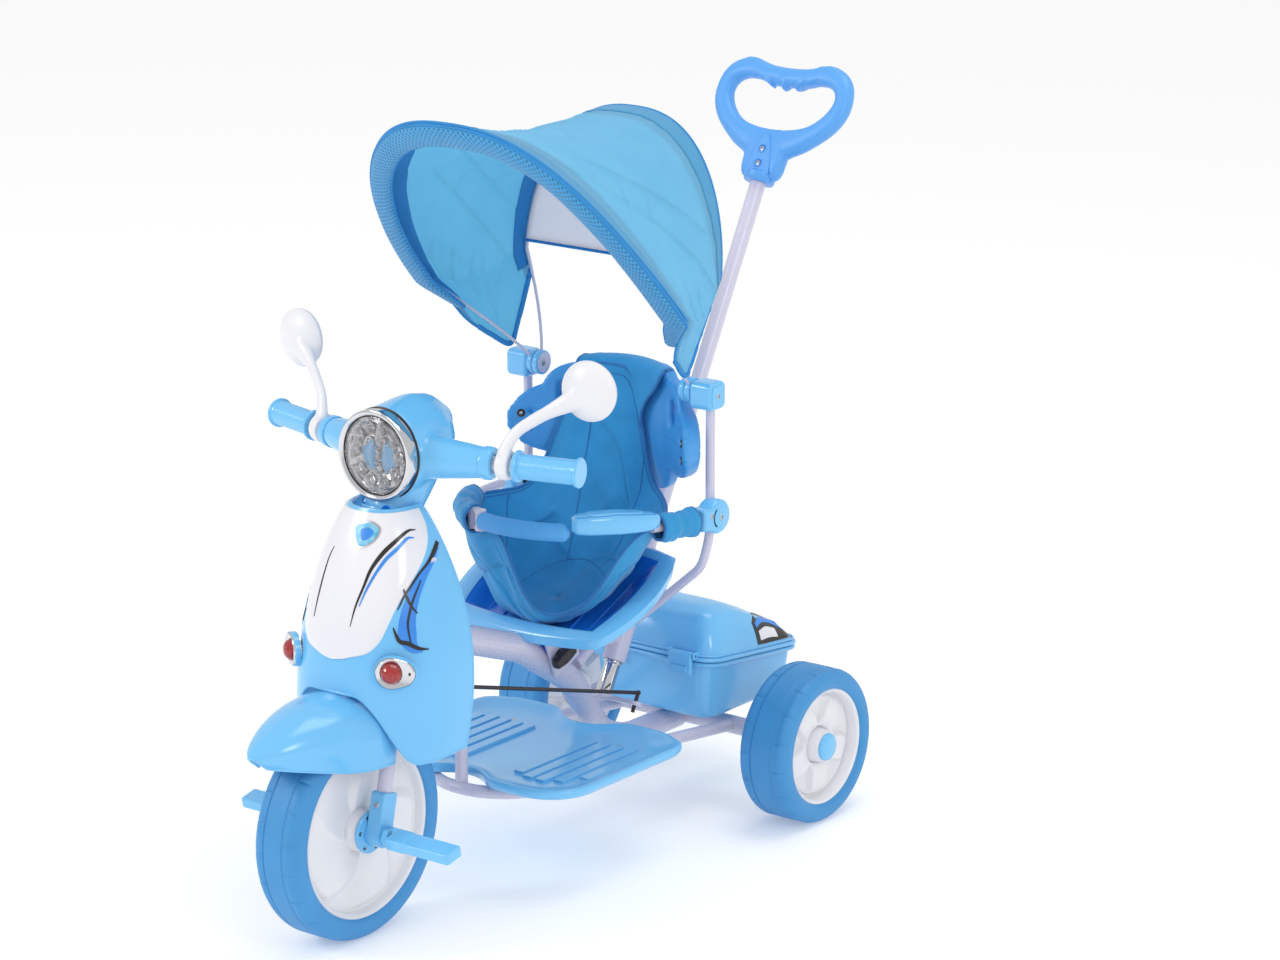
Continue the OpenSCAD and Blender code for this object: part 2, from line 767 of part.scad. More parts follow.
module headlight_lens() {
    color([0.9, 0.95, 1, 0.4]) place() translate([0, lamp_y + 13, lamp_z]) rotate([90, 0, 0]) difference() {
        translate([0, 0, 12.2]) cylinder(r1 = lamp_r - 8.2, r2 = lamp_r - 16, h = 6);
        translate([0, 0, 10]) cylinder(r = lamp_r - 20, h = 4);
    }
}
module handlebar() {
    color(white_paint) {
        difference() {
            for (side = [-1, 1]) bar_frame(side) rotate([0, 90, 0]) cylinder(r = bar_r - 0.01, h = 238);
            steer() cylinder(r = stem_r, h = 600);
        }
        steer() translate([0, 0, stem_top - 12]) difference() {
            cylinder(r = 20, h = 26);
            translate([0, 0, -1]) cylinder(r = stem_r, h = 13);
        }
    }
}
module grips() {
    color(sky) for (side = [-1, 1]) bar_frame(side) rotate([0, 90, 0]) difference() {
        union() {
            translate([0, 0, 163]) cylinder(r = grip_r, h = 78);
            translate([0, 0, 160]) cylinder(r = grip_r + 4, h = 5);
            translate([0, 0, 238]) cylinder(r = grip_r + 3, h = 4);
        }
        cylinder(r = bar_r, h = 238);
    }
}
mirror_x = 146;
mirror_head = [223, -489.5, 665];
module mirror_arm(side) {
    stalk = rounded_path([[141, -536, 592], [150, -528, 618], [190, -503, 640], [214, -494, 656]], 10);
    color("white") {
        difference() {
            bar_frame(side) rotate([0, 90, 0]) translate([0, 0, mirror_x - 8]) cylinder(r = 18, h = 16);
            bar_frame(side) rotate([0, 90, 0]) cylinder(r = bar_r + run_fit, h = 238);
        }
        place() tube([for (p = stalk) side > 0 ? p : mirrored(p)], [0, 1, 0], 7, 12, 0.8);
        place() translate([side * mirror_head[0], mirror_head[1] + 8, mirror_head[2]]) rotate([90, 0, 0])
            rotate_extrude() intersection() {
                translate([0, -56]) circle(72, $fn = 96);
                square([37, 20]);
            }
    }
}
module mirror_left() {
    mirror_arm(1);
}
module mirror_right() {
    mirror_arm(-1);
}

// ---- Push pole and steering rod ----

module push_pole() {
    color(white_paint) pole() {
        translate([0, 0, -8]) cylinder(r = pole_r, h = 712);
        translate([0, 0, sleeve_to + 0.5]) cylinder(r = 15, h = 8);
        difference() {
            union() {
                translate([0, -9, -13]) cube([lever_arm, 18, 5]);
                translate([lever_arm, 0, -13]) cylinder(r = 9, h = 5);
                translate([0, 0, -13]) cylinder(r = 14, h = 5);
            }
            translate([lever_arm, 0, -20]) cylinder(r = rod_r + run_fit, h = 20);
        }
    }
}
handle_outer = [[20, 692], [30, 703], [31, 722], [59, 739], [89, 765], [103, 789], [105, 812],
                [99, 834], [84, 849], [60, 855], [24, 847]];
handle_inner = [[0, 761], [44, 767], [68, 782], [81, 802], [80, 816], [68, 826], [46, 827], [20, 821]];
function both_sides(p) = concat(p, [for (i = [len(p) - 1:-1:0]) if (p[i][0] > 0) [-p[i][0], p[i][1]]]);
module push_handle() {
    color(sky) pole() difference() {
        translate([0, 12, 0]) rotate([90, 0, 0]) linear_extrude(24) difference() {
            polygon(both_sides(handle_outer));
            polygon(both_sides(handle_inner));
        }
        cylinder(r = pole_r, h = 704);
    }
}
// Rod with a hooked pin at each end and a ball at each corner
module steering_rod() {
    rise = lug_to + 7.5 + rod_r;
    front_end = [lever_arm, -wheelbase + rise * sin(rake), front_r + rise * cos(rake)];
    rear_end = [lever_arm, pole_foot_y + 4 * sin(pole_lean), pole_foot_z + 4 * cos(pole_lean)];
    run = rear_end - front_end;
    color(black) {
        place() translate(front_end) rotate([-atan2(run[1], run[2]), 0, 0]) cylinder(r = rod_r, h = norm(run));
        for (end = [front_end, rear_end]) place() translate(end) sphere(r = rod_r + 0.8);
        steer() translate([lever_arm, 0, rise - 20]) cylinder(r = rod_r, h = 20);
        pole() translate([lever_arm, 0, -22]) cylinder(r = rod_r, h = 26);
    }
}

// ---- Guard ring ----

// The ring runs round the front from the left pivot (a = 0) to the right one (a = 180).
guard_rise = 12;
function guard_at(a) =
    [guard_half * cos(a), -140 - guard_reach * pow(sin(a), 0.85), guard_z + guard_rise * sin(a)];
clasp_from = 22;
clasp_to = 57;
gate_hinge_a = 105;
gate_pin = guard_at(gate_hinge_a);
gate_post = [guard_at(gate_hinge_a + 7)[0], guard_at(gate_hinge_a + 7)[1], gate_pin[2]];
gate_turn = atan2(gate_post[1] - gate_pin[1], gate_post[0] - gate_pin[0]);
module guard_run(a0, a1, r, sides = 14, rise = 0, flat = 1) {
    n = ceil(abs(a1 - a0) / 4);
    tube([for (i = [0:n]) guard_at(mix(a0, a1, i / n)) + [0, 0, rise]], [0, 0, 1], r, sides, flat);
}
module guard_block(side) {
    color(sky) place() difference() {
        union() {
            translate([side * 152 - 12, -140, guard_z]) rod_x(0, 24, 22);
            translate([side * 152 - 12, -172, guard_z - 14]) cube([24, 32, 28]);
        }
        translate([side * leg_x, leg_y, 300]) cylinder(r = leg_r + 0.3, h = 300);
    }
}
module guard_block_left() {
    guard_block(1);
}
module guard_block_right() {
    guard_block(-1);
}
module guard_arm_left() {
    color(white_paint) place() guard_run(9, clasp_from + 2, 6, 12);
}
module guard_arm_right() {
    color(white_paint) place() {
        guard_run(171, gate_hinge_a + 7, 6, 12);
        translate(gate_pin - [0, 0, 11]) cylinder(r = 4, h = 22);
        // Lugs above and below the gate's knuckle
        translate(gate_post - [0, 0, 14]) cylinder(r = 8, h = 28);
        for (z = [-13, 8]) translate(gate_pin + [0, 0, z]) rotate([0, 0, gate_turn]) linear_extrude(5) {
            circle(7);
            translate([0, -5]) square([norm(gate_post - gate_pin), 10]);
        }
    }
}
module guard_gate() {
    color(white_paint) place() difference() {
        union() {
            guard_run(clasp_to + 0.6, gate_hinge_a - 1, 6, 12);
            translate(gate_pin - [0, 0, 7.5]) cylinder(r = 7, h = 15);
        }
        translate(gate_pin - [0, 0, 20]) cylinder(r = 4 + run_fit, h = 40);
    }
}
module gate_foam() {
    color(foam_blue) place() difference() {
        guard_run(clasp_to + 5, gate_hinge_a - 7, 11);
        guard_run(clasp_to, gate_hinge_a, 6.2, 12);
    }
}
module gate_clasp() {
    color(sky) place() guard_run(clasp_from, clasp_to, 14, 16, 12, 1.1);
}

// ---- Canopy ----

// The bows turn on discs beside the blocks, on one axis along X.
bow_y = -146;
bow_z = 585;
disc_w = 8.6;
front_disc_x = 120.5;
rear_disc_x = front_disc_x - disc_w - 0.4;
block_x = front_disc_x + disc_w + 0.4;
module canopy_block(side) {
    color(sky) place() difference() {
        union() {
            translate([side > 0 ? block_x : -block_x - 32, bow_y - 15, bow_z - 19]) cube([32, 34, 32]);
            translate([0, bow_y, bow_z]) rod_x(side > 0 ? rear_disc_x : -block_x - 4, side > 0 ? block_x + 4 : -rear_disc_x, 4);
        }
        translate([side * leg_x, leg_y, 400]) cylinder(r = leg_r + 0.3, h = 172 + 12);
    }
}
module canopy_block_left() {
    canopy_block(1);
}
module canopy_block_right() {
    canopy_block(-1);
}
// Half outline of a bow in its own plane: a straight leg, then a round shoulder to the crown
function bow_flat(foot, half, len, leg, t) =
    t < 0.3 ? [mix(foot, half, pow(t / 0.3, 1.7)), 8 + (leg - 8) * t / 0.3]
    : let (a = 90 * (1 - t) / 0.7) [half * pow(sin(a), 0.82), leg + (len - leg) * cos(a)];
function bow_3d(p, lean, sag) =
    [p[0], bow_y - p[1] * sin(lean) + sag * pow(p[1] / 300, 2), bow_z + p[1] * cos(lean)];
function bow_path(foot, half, len, leg, lean, sag) =
    let (half_path = [for (i = [0:20]) bow_3d(bow_flat(foot, half, len, leg, i / 20), lean, sag)])
    concat(half_path, [for (i = [len(half_path) - 2:-1:0]) mirrored(half_path[i])]);
front_path = bow_path(front_disc_x + disc_w / 2, front_bow_half, front_bow_len, 183, front_bow_lean, 28);
rear_path = bow_path(rear_disc_x + disc_w / 2, rear_bow_half, rear_bow_len, 140, rear_bow_lean, 6);
module bow(path, disc_x) {
    color(white_paint) place() {
        tube(path, [0, 1, 0], 2, 8);
        for (side = [-1, 1]) translate([side > 0 ? disc_x : -disc_x - disc_w, bow_y, bow_z]) difference() {
            rod_x(0, disc_w, 13);
            rod_x(-1, disc_w + 1, 4 + run_fit);
        }
    }
}
module front_bow() {
    bow(front_path, front_disc_x);
}
module rear_bow() {
    bow(rear_path, rear_disc_x);
}
// Cloth from bow to bow, just outside both, with a padded hem inside the front bow
canopy_mid = [0, -230, 640];
hem_w = 40;
module canopy_cloth() {
    n = len(front_path) - 1;
    cuts = 10;
    line = [for (i = [2:n - 2]) i];
    hem_line = [for (i = [4:n - 4]) i];
    at = function(i, s, out) let (p = mix(front_path[i], rear_path[i], s) + [0, 0, -22 * sin(180 * s)])
        p + out * unit(p - canopy_mid);
    outer = [for (i = line) [for (j = [0:cuts]) at(i, j / cuts, 6)]];
    inner = [for (i = line) [for (j = [0:cuts]) at(i, j / cuts, 4)]];
    hem_mid = [0, bow_y, bow_z] + 190 * [0, -sin(front_bow_lean), cos(front_bow_lean)];
    hem_front = [0, -cos(front_bow_lean), -sin(front_bow_lean)];
    hem = function(i, w, out) let (p = front_path[i]) p + w * unit(hem_mid - p) + out * hem_front;
    hem_front_face = [for (i = hem_line) [for (w = [-4, 8, 20, 32, hem_w]) hem(i, w, 9)]];
    hem_back_face = [for (i = hem_line) [for (w = [-4, 8, 20, 32, hem_w]) hem(i, w, 3.4)]];
    color(canopy_blue) place() {
        sheet(outer, inner, true);
        sheet(hem_front_face, hem_back_face);
    }
}

spine();
lower_loop();
rear_axle_tube();
pole_sleeve();
back_leg_left();
back_leg_right();
seat_pan();
backrest();
seat_cloth();
seat_knob();
footrest();
storage_box();
box_lid();
lid_badge();
hinge_pin();
box_latch_left();
box_latch_right();
rear_axle();
rear_tyre_left();
rear_rim_left();
hub_cap_left();
rear_tyre_right();
rear_rim_right();
hub_cap_right();
guard_block_left();
guard_block_right();
guard_arm_left();
guard_arm_right();
guard_gate();
gate_foam();
gate_clasp();
canopy_block_left();
canopy_block_right();
front_bow();
rear_bow();
canopy_cloth();
fork();
dropout_left();
dropout_right();
mudguard();
shield();
shield_panel();
lamp_bezels();
lamp_lenses();
head_shell();
headlight_ring();
headlight_reflector();
headlight_lens();
handlebar();
grips();
mirror_left();
mirror_right();
front_tyre();
front_rim();
cranks();
pedal_left();
pedal_right();
push_pole();
push_handle();
steering_rod();
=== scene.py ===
"""Looks of the children's tricycle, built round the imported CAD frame.

Points are in millimetres with the rear axle at y = 0, as in the design. frame_at() makes the frames that
carry them into the part's own frame, and add() turns them into metres. The front is -Y and the vehicle's left
is +X.
"""
import math

import bmesh
import bpy
import numpy as np
from mathutils import Matrix, Vector
from mathutils.bvhtree import BVHTree
from mathutils.kdtree import KDTree


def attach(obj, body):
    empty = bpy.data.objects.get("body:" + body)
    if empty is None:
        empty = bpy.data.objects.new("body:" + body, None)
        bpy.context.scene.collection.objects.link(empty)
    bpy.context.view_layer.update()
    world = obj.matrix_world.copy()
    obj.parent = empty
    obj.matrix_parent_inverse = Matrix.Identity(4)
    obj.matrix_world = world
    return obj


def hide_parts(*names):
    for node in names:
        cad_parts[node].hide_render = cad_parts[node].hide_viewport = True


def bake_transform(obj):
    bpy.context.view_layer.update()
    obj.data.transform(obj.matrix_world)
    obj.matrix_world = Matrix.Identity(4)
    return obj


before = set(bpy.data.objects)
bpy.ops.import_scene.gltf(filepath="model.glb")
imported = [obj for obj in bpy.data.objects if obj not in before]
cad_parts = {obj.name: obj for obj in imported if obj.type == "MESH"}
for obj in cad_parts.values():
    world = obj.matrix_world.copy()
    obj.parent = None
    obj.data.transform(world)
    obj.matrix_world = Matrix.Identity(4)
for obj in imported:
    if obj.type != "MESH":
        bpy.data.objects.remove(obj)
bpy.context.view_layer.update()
scene = bpy.context.scene

# ---------------------------------------------------------------- frames
REAR_Y = 290.0
WHEELBASE = 663.0
FRONT_R = 135.0
REAR_R = 101.0
RAKE = 13.2
LEAN = 28.4
BAR_TURN = math.degrees(math.atan2(61.4, 233.0))
HALF_TRACK = 198
FRONT_RIM, REAR_RIM = 108, 77
FRONT_HUB, REAR_HUB, HUB_HALF = 24, 20, 33
CRANK_THROW, CRANK_LIFT, PEDAL_X, PEDAL_LEAN = 48, 25, 154, 12
GUARD_NOSE, GUARD_TAIL = 38, 96
SHIELD_LOW, SHIELD_TALL, SHIELD_TOP, SHIELD_WALL = 213, 307, 520, 3.0
PANEL_LOW, PANEL_RISE, DECAL_THICK = 350, 2.2, 0.5
BOWL_SINK, SEAT_CLOTH, CLOTH_Y = 20, 1.8, -264
RING_HALF, RING_Y, RING_Z = 150, -140, 427
BOX_FLOOR_Z, BOX_RIM_Z, BOX_SLOPE = 124, 205, math.tan(math.radians(6))
TRAY_Y, TRAY_HALF, TRAY_LENGTH, TRAY_CORNER = -325, 164, 138, 60


def shift(x, y, z):
    return Matrix.Translation((x, y, z))


def spin(axis, degrees):
    return Matrix.Rotation(math.radians(degrees), 4, axis)


def frame_at(x, y, z, *turns):
    """Frame in millimetres: a place, then turns such as ("X", -13.2)."""
    m = shift(x, y + REAR_Y, z)
    for axis, degrees in turns:
        m = m @ spin(axis, degrees)
    return m


PLACE = frame_at(0, 0, 0)
STEER = frame_at(0, -WHEELBASE, FRONT_R, ("X", -RAKE))
POLE = frame_at(0, -164.6, 177, ("X", -LEAN))
ALONG_X = spin("Y", 90)


def bar_frame(side):
    """Frame on the middle of the handlebar, with X along its half on that side."""
    return frame_at(0, -572, 575, ("Z", BAR_TURN if side > 0 else 180 - BAR_TURN))


def on_bar(side, places):
    """Points on the middle of the handlebar, at places along its half on that side."""
    m = np.array(bar_frame(side))
    origin, along = m[:3, 3] - [0, REAR_Y, 0], m[:3, 0]
    return np.array([origin + along * s for s in places])


def sided(points, side):
    return np.asarray(points) * [side, 1, 1]


def mix(a, b, t):
    return a * (1 - t) + b * t


def smooth(t):
    t = np.clip(t, 0, 1)
    return t * t * (3 - 2 * t)


SIDES = ((1, "left"), (-1, "right"))

# ---------------------------------------------------------------- materials
MATERIALS = {}


def ramp(nodes, links, value, low, high):
    """A number from 0 to 1 turned into one from low to high."""
    node = nodes.new("ShaderNodeMapRange")
    node.inputs["To Min"].default_value = low
    node.inputs["To Max"].default_value = high
    links.new(value, node.inputs["Value"])
    return node.outputs["Result"]


def noise_value(nodes, links, coords, size):
    node = nodes.new("ShaderNodeTexNoise")
    node.inputs["Scale"].default_value = 1000.0 / size
    node.inputs["Detail"].default_value = 2.0
    links.new(coords, node.inputs["Vector"])
    return node.outputs["Fac"]


def bands(nodes, links, coords, pitch, turn):
    """Sine ridges every pitch millimetres, turned in the cloth's plane."""
    turned = nodes.new("ShaderNodeVectorRotate")
    turned.rotation_type = "Z_AXIS"
    turned.inputs["Angle"].default_value = math.radians(turn)
    links.new(coords, turned.inputs["Vector"])
    wave = nodes.new("ShaderNodeTexWave")
    wave.inputs["Scale"].default_value = 2 * math.pi / 20 / (pitch * 0.001)
    links.new(turned.outputs["Vector"], wave.inputs["Vector"])
    return wave.outputs["Fac"]


def math_node(nodes, links, operation, a, b):
    node = nodes.new("ShaderNodeMath")
    node.operation = operation
    for socket, value in zip(node.inputs, (a, b)):
        if isinstance(value, float):
            socket.default_value = value
        else:
            links.new(value, socket)
    return node.outputs[0]


def material(
    name, shade, shade2=None, patch=60, rough=(0.25, 0.35), grain=(3.0, 0.02), weave=None, clear=0.0,
    **sockets
):
    """One procedural finish: two shades in patches, a varied roughness, and a bump of grain or of weave.

    patch and grain sizes are in mm, weave is (pitch, depth, turn, darkening), and clear is the share of light
    let through.
    """
    m = bpy.data.materials.new(name)
    m.use_nodes = True
    nodes, links = m.node_tree.nodes, m.node_tree.links
    shader = nodes["Principled BSDF"]
    where = nodes.new("ShaderNodeTexCoord").outputs["Object"]
    colours = nodes.new("ShaderNodeMix")
    colours.data_type = "RGBA"
    colours.inputs["A"].default_value = (*shade, 1)
    colours.inputs["B"].default_value = (*(shade2 or [c * 0.9 for c in shade]), 1)
    spots = ramp(nodes, links, noise_value(nodes, links, where, patch), -0.4, 1.4)
    links.new(spots, colours.inputs["Factor"])
    colour = colours.outputs["Result"]
    speckle = noise_value(nodes, links, where, grain[0])
    height = speckle
    depth = grain[1]
    if weave:
        pitch, depth, turn, darkening = weave
        cloth = nodes.new("ShaderNodeUVMap").outputs["UV"]
        one = bands(nodes, links, cloth, pitch, turn)
        two = bands(nodes, links, cloth, pitch, turn + 90)
        height = math_node(nodes, links, "MULTIPLY", one, two)
        dark = nodes.new("ShaderNodeMix")
        dark.data_type = "RGBA"
        dark.blend_type = "MULTIPLY"
        links.new(colour, dark.inputs["A"])
        dark.inputs["B"].default_value = (*[1 - darkening] * 3, 1)
        links.new(height, dark.inputs["Factor"])
        colour = dark.outputs["Result"]
    links.new(colour, shader.inputs["Base Color"])
    links.new(ramp(nodes, links, speckle, *rough), shader.inputs["Roughness"])
    bump = nodes.new("ShaderNodeBump")
    bump.inputs["Distance"].default_value = depth * 0.001
    links.new(height, bump.inputs["Height"])
    links.new(bump.outputs["Normal"], shader.inputs["Normal"])
    for socket, value in sockets.items():
        shader.inputs[socket.replace("_", " ")].default_value = value
    if clear:
        glow = nodes.new("ShaderNodeBsdfTranslucent")
        links.new(colour, glow.inputs["Color"])
        both = nodes.new("ShaderNodeMixShader")
        both.inputs["Fac"].default_value = clear
        links.new(shader.outputs[0], both.inputs[1])
        links.new(glow.outputs[0], both.inputs[2])
        links.new(both.outputs[0], nodes["Material Output"].inputs["Surface"])
    MATERIALS[name] = m
    return m


GLOSS = dict(rough=(0.16, 0.26), grain=(9.0, 0.05), Coat_Weight=0.35, Coat_Roughness=0.12)
material("sky", (0.165, 0.53, 0.88), (0.145, 0.49, 0.85), patch=140, **GLOSS)
material("deep", (0.012, 0.20, 0.74), (0.01, 0.17, 0.68), patch=90, **GLOSS)
material("ear", (0.052, 0.33, 0.74), (0.045, 0.30, 0.70), patch=90, rough=(0.3, 0.42), grain=(1.2, 0.03))
material("handle", (0.10, 0.37, 0.82), (0.09, 0.34, 0.78), patch=80, rough=(0.33, 0.45), grain=(1.0, 0.04))
material("white", (0.80, 0.80, 0.83), (0.76, 0.76, 0.80), patch=70, rough=(0.28, 0.4), grain=(6.0, 0.04))
material("paint", (0.62, 0.60, 0.72), (0.58, 0.56, 0.69), patch=160, rough=(0.22, 0.34), grain=(2.2, 0.05),
         Coat_Weight=0.25, Coat_Roughness=0.2)
material("panel", (0.80, 0.80, 0.84), (0.77, 0.77, 0.82), patch=120, rough=(0.14, 0.2), grain=(9.0, 0.03),
         Coat_Weight=0.4, Coat_Roughness=0.1)
material("tyre", (0.050, 0.29, 0.63), (0.042, 0.26, 0.57), patch=45, rough=(0.42, 0.6), grain=(1.5, 0.08))
material("foam", (0.085, 0.37, 0.76), (0.075, 0.34, 0.71), patch=40, rough=(0.5, 0.65), grain=(0.9, 0.10))
material("chrome", (0.66, 0.67, 0.70), (0.58, 0.59, 0.62), patch=30, rough=(0.05, 0.12), grain=(4.0, 0.01),
         Metallic=1.0)
material("steel", (0.55, 0.56, 0.58), (0.47, 0.48, 0.50), patch=8, rough=(0.25, 0.4), grain=(0.7, 0.03),
         Metallic=1.0)
material("black", (0.018, 0.012, 0.012), (0.03, 0.02, 0.02), patch=20, rough=(0.3, 0.45), grain=(1.0, 0.04))
material("red", (0.50, 0.002, 0.004), (0.16, 0.0, 0.0), patch=4, rough=(0.12, 0.22), grain=(2.6, 0.35),
         Coat_Weight=0.8, Coat_Roughness=0.05)
material("mirror_glass", (0.80, 0.84, 0.88), (0.76, 0.80, 0.85), patch=60, rough=(0.03, 0.06),
         grain=(30.0, 0.01), Metallic=1.0)
material("reflector", (0.62, 0.60, 0.58), (0.30, 0.28, 0.27), patch=9, rough=(0.08, 0.2),
         grain=(3.0, 0.04), Metallic=1.0)
material("lens", (0.96, 0.97, 1.0), (0.93, 0.95, 1.0), patch=30, rough=(0.02, 0.06), grain=(8.0, 0.02),
         Transmission_Weight=0.95, IOR=1.46)
material("stripe_black", (0.012, 0.010, 0.012), (0.02, 0.018, 0.02), patch=15, rough=(0.2, 0.3))
material("stripe_blue", (0.03, 0.22, 0.72), (0.04, 0.27, 0.78), patch=30, rough=(0.2, 0.3))
material("badge", (0.02, 0.36, 0.62), (0.30, 0.62, 0.80), patch=9, rough=(0.18, 0.3))
material("cloth", (0.030, 0.330, 0.690), (0.020, 0.265, 0.560), patch=40, rough=(0.75, 0.9),
         weave=(1.7, 0.16, 0, 0.16), Sheen_Weight=0.25, Sheen_Roughness=0.4)
material("binding", (0.016, 0.180, 0.460), (0.012, 0.155, 0.420), patch=25, rough=(0.7, 0.85),
         grain=(0.8, 0.12), Sheen_Weight=0.2)
# The canopy's emission is a painted glow: it brightens the cloth the way light shining through it would.
material("canopy", (0.280, 0.670, 0.860), (0.240, 0.630, 0.830), patch=50, rough=(0.45, 0.6),
         weave=(1.1, 0.05, 0, 0.06), clear=0.6, Sheen_Weight=0.15, Emission_Color=(0.25, 0.48, 0.55, 1),
         Emission_Strength=0.27)
material("canopy_double", (0.120, 0.480, 0.780), (0.10, 0.450, 0.750), patch=40, rough=(0.5, 0.65),
         weave=(1.1, 0.05, 0, 0.06), clear=0.35, Sheen_Weight=0.15)
material("hem", (0.050, 0.340, 0.680), (0.044, 0.310, 0.640), patch=40, rough=(0.6, 0.8),
         weave=(5.0, 0.9, 45, 0.62), Sheen_Weight=0.2)
material("strip", (0.022, 0.250, 0.600), (0.018, 0.225, 0.550), patch=30, rough=(0.6, 0.8),
         weave=(1.2, 0.08, 0, 0.12))
# The window's emission is a painted glow that lightens the cloth where it sits in shade.
material("flap", (0.78, 0.78, 0.82), (0.74, 0.74, 0.79), patch=40, rough=(0.6, 0.8),
         weave=(1.2, 0.05, 0, 0.05), clear=0.6, Emission_Color=(0.5, 0.5, 0.52, 1), Emission_Strength=0.5)


# ---------------------------------------------------------------- mesh helpers
def placed(name, data):
    piece = bpy.data.objects.new(name, data)
    scene.collection.objects.link(piece)
    return piece


def baked(piece):
    """Mesh of a piece with its modifiers applied."""
    return bpy.data.meshes.new_from_object(piece.evaluated_get(bpy.context.evaluated_depsgraph_get()))


def hand_over(piece, body, replaces):
    """Body and replaced CAD node of a piece that add() did not make."""
    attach(piece, body)
    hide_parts(replaces)


def add(name, verts, faces, mat, body, at=PLACE, replaces=(), slot="", bevel=None, sharp=40, uv=None):
    """A smooth-shaded piece from points in millimetres in the frame at, riding on a CAD body.

    The slot argument is not used.
    """
    v = np.asarray(verts, float).reshape(-1, 3)
    m = np.array(at)
    v = (v @ m[:3, :3].T + m[:3, 3]) * 0.001
    mesh = bpy.data.meshes.new(name)
    mesh.from_pydata([tuple(p) for p in v], [], faces)
    bm = bmesh.new()
    bm.from_mesh(mesh)
    bmesh.ops.remove_doubles(bm, verts=bm.verts, dist=1e-6)
    bmesh.ops.recalc_face_normals(bm, faces=bm.faces)
    bm.to_mesh(mesh)
    bm.free()
    mesh.polygons.foreach_set("use_smooth", [True] * len(mesh.polygons))
    if sharp:
        mesh.set_sharp_from_angle(angle=math.radians(sharp))
    mesh.materials.append(MATERIALS[mat])
    piece = placed(name, mesh)
    if bevel:
        round_off = piece.modifiers.new("edges", "BEVEL")
        round_off.width = bevel * 0.001
        round_off.segments = 3
        round_off.angle_limit = math.radians(35)
        round_off.use_clamp_overlap = True
    if uv is not None:
        layer = mesh.uv_layers.new(name="cloth")
        for loop in mesh.loops:
            layer.data[loop.index].uv = uv(mesh.vertices[loop.vertex_index].co)
    if body:
        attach(piece, body)
    if replaces:
        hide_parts(*([replaces] if isinstance(replaces, str) else replaces))
    return piece


def grid_faces(n, m, wrap_u, wrap_v):
    return [
        (i * m + j, i * m + (j + 1) % m, (i + 1) % n * m + (j + 1) % m, (i + 1) % n * m + j)
        for i in range(n if wrap_u else n - 1)
        for j in range(m if wrap_v else m - 1)
    ]


def surface(name, points, mat, body, wrap_u=False, wrap_v=False, caps=False, **looks):
    """A grid of points skinned with quads; caps closes the first and last rows."""
    p = np.asarray(points, float)
    n, m = p.shape[:2]
    faces = grid_faces(n, m, wrap_u, wrap_v)
    if caps:
        faces += [tuple(reversed(range(m))), tuple((n - 1) * m + j for j in range(m))]
    return add(name, p, faces, mat, body, **looks)


def shell(name, outer, inner, mat, body, wrap_v=False, **looks):
    """A closed solid between two grids of the same size."""
    a, b = np.asarray(outer, float), np.asarray(inner, float)
    n, m = a.shape[:2]
    o = n * m
    faces = grid_faces(n, m, False, wrap_v)
    faces += [tuple(o + k for k in reversed(f)) for f in faces]
    for row in (0, (n - 1) * m):
        faces += [
            (row + j, row + (j + 1) % m, o + row + (j + 1) % m, o + row + j)
            for j in range(m if wrap_v else m - 1)
        ]
    if not wrap_v:
        for j in (0, m - 1):
            faces += [(i * m + j, (i + 1) * m + j, o + (i + 1) * m + j, o + i * m + j)
                      for i in range(n - 1)]
    return add(name, np.concatenate([a.reshape(-1, 3), b.reshape(-1, 3)]), faces, mat, body, **looks)


def curve(points, steps=8, closed=False):
    """Catmull-Rom curve through points."""
    p = [np.array(q, float) for q in points]
    if closed:
        p = [p[-1]] + p + p[:2]
    else:
        p = [2 * p[0] - p[1]] + p + [2 * p[-1] - p[-2]]
    out = []
    for a, b, c, d in zip(p, p[1:], p[2:], p[3:]):
        for k in range(steps):
            t = k / steps
            out.append(
                0.5 * (2 * b + (c - a) * t + (2 * a - 5 * b + 4 * c - d) * t * t
                       + (3 * b - a - 3 * c + d) * t**3)
            )
    if not closed:
        out.append(p[-2])
    return np.array(out)


def sweep(path, sections, up, closed=False):
    """Rings along a path; sections holds the (side, up) offsets of a ring, once or for each ring."""
    p = np.asarray(path, float)
    t = np.roll(p, -1, 0) - np.roll(p, 1, 0) if closed else np.gradient(p, axis=0)
    t /= np.linalg.norm(t, axis=1, keepdims=True)
    side = np.cross(t, np.asarray(up, float))
    side /= np.linalg.norm(side, axis=1, keepdims=True)
    over = np.cross(side, t)
    s = np.asarray(sections, float)
    if s.ndim == 2:
        s = np.repeat(s[None], len(p), 0)
    return p[:, None] + s[..., :1] * side[:, None] + s[..., 1:] * over[:, None]


def oval(width, height, sides, power=2.0):
    """Half-width and half-height of a rounded section."""
    a = np.linspace(0, 2 * math.pi, sides, endpoint=False)
    c, s = np.cos(a), np.sin(a)
    return np.stack(
        [width * np.sign(c) * abs(c) ** (2 / power), height * np.sign(s) * abs(s) ** (2 / power)], axis=1
    )


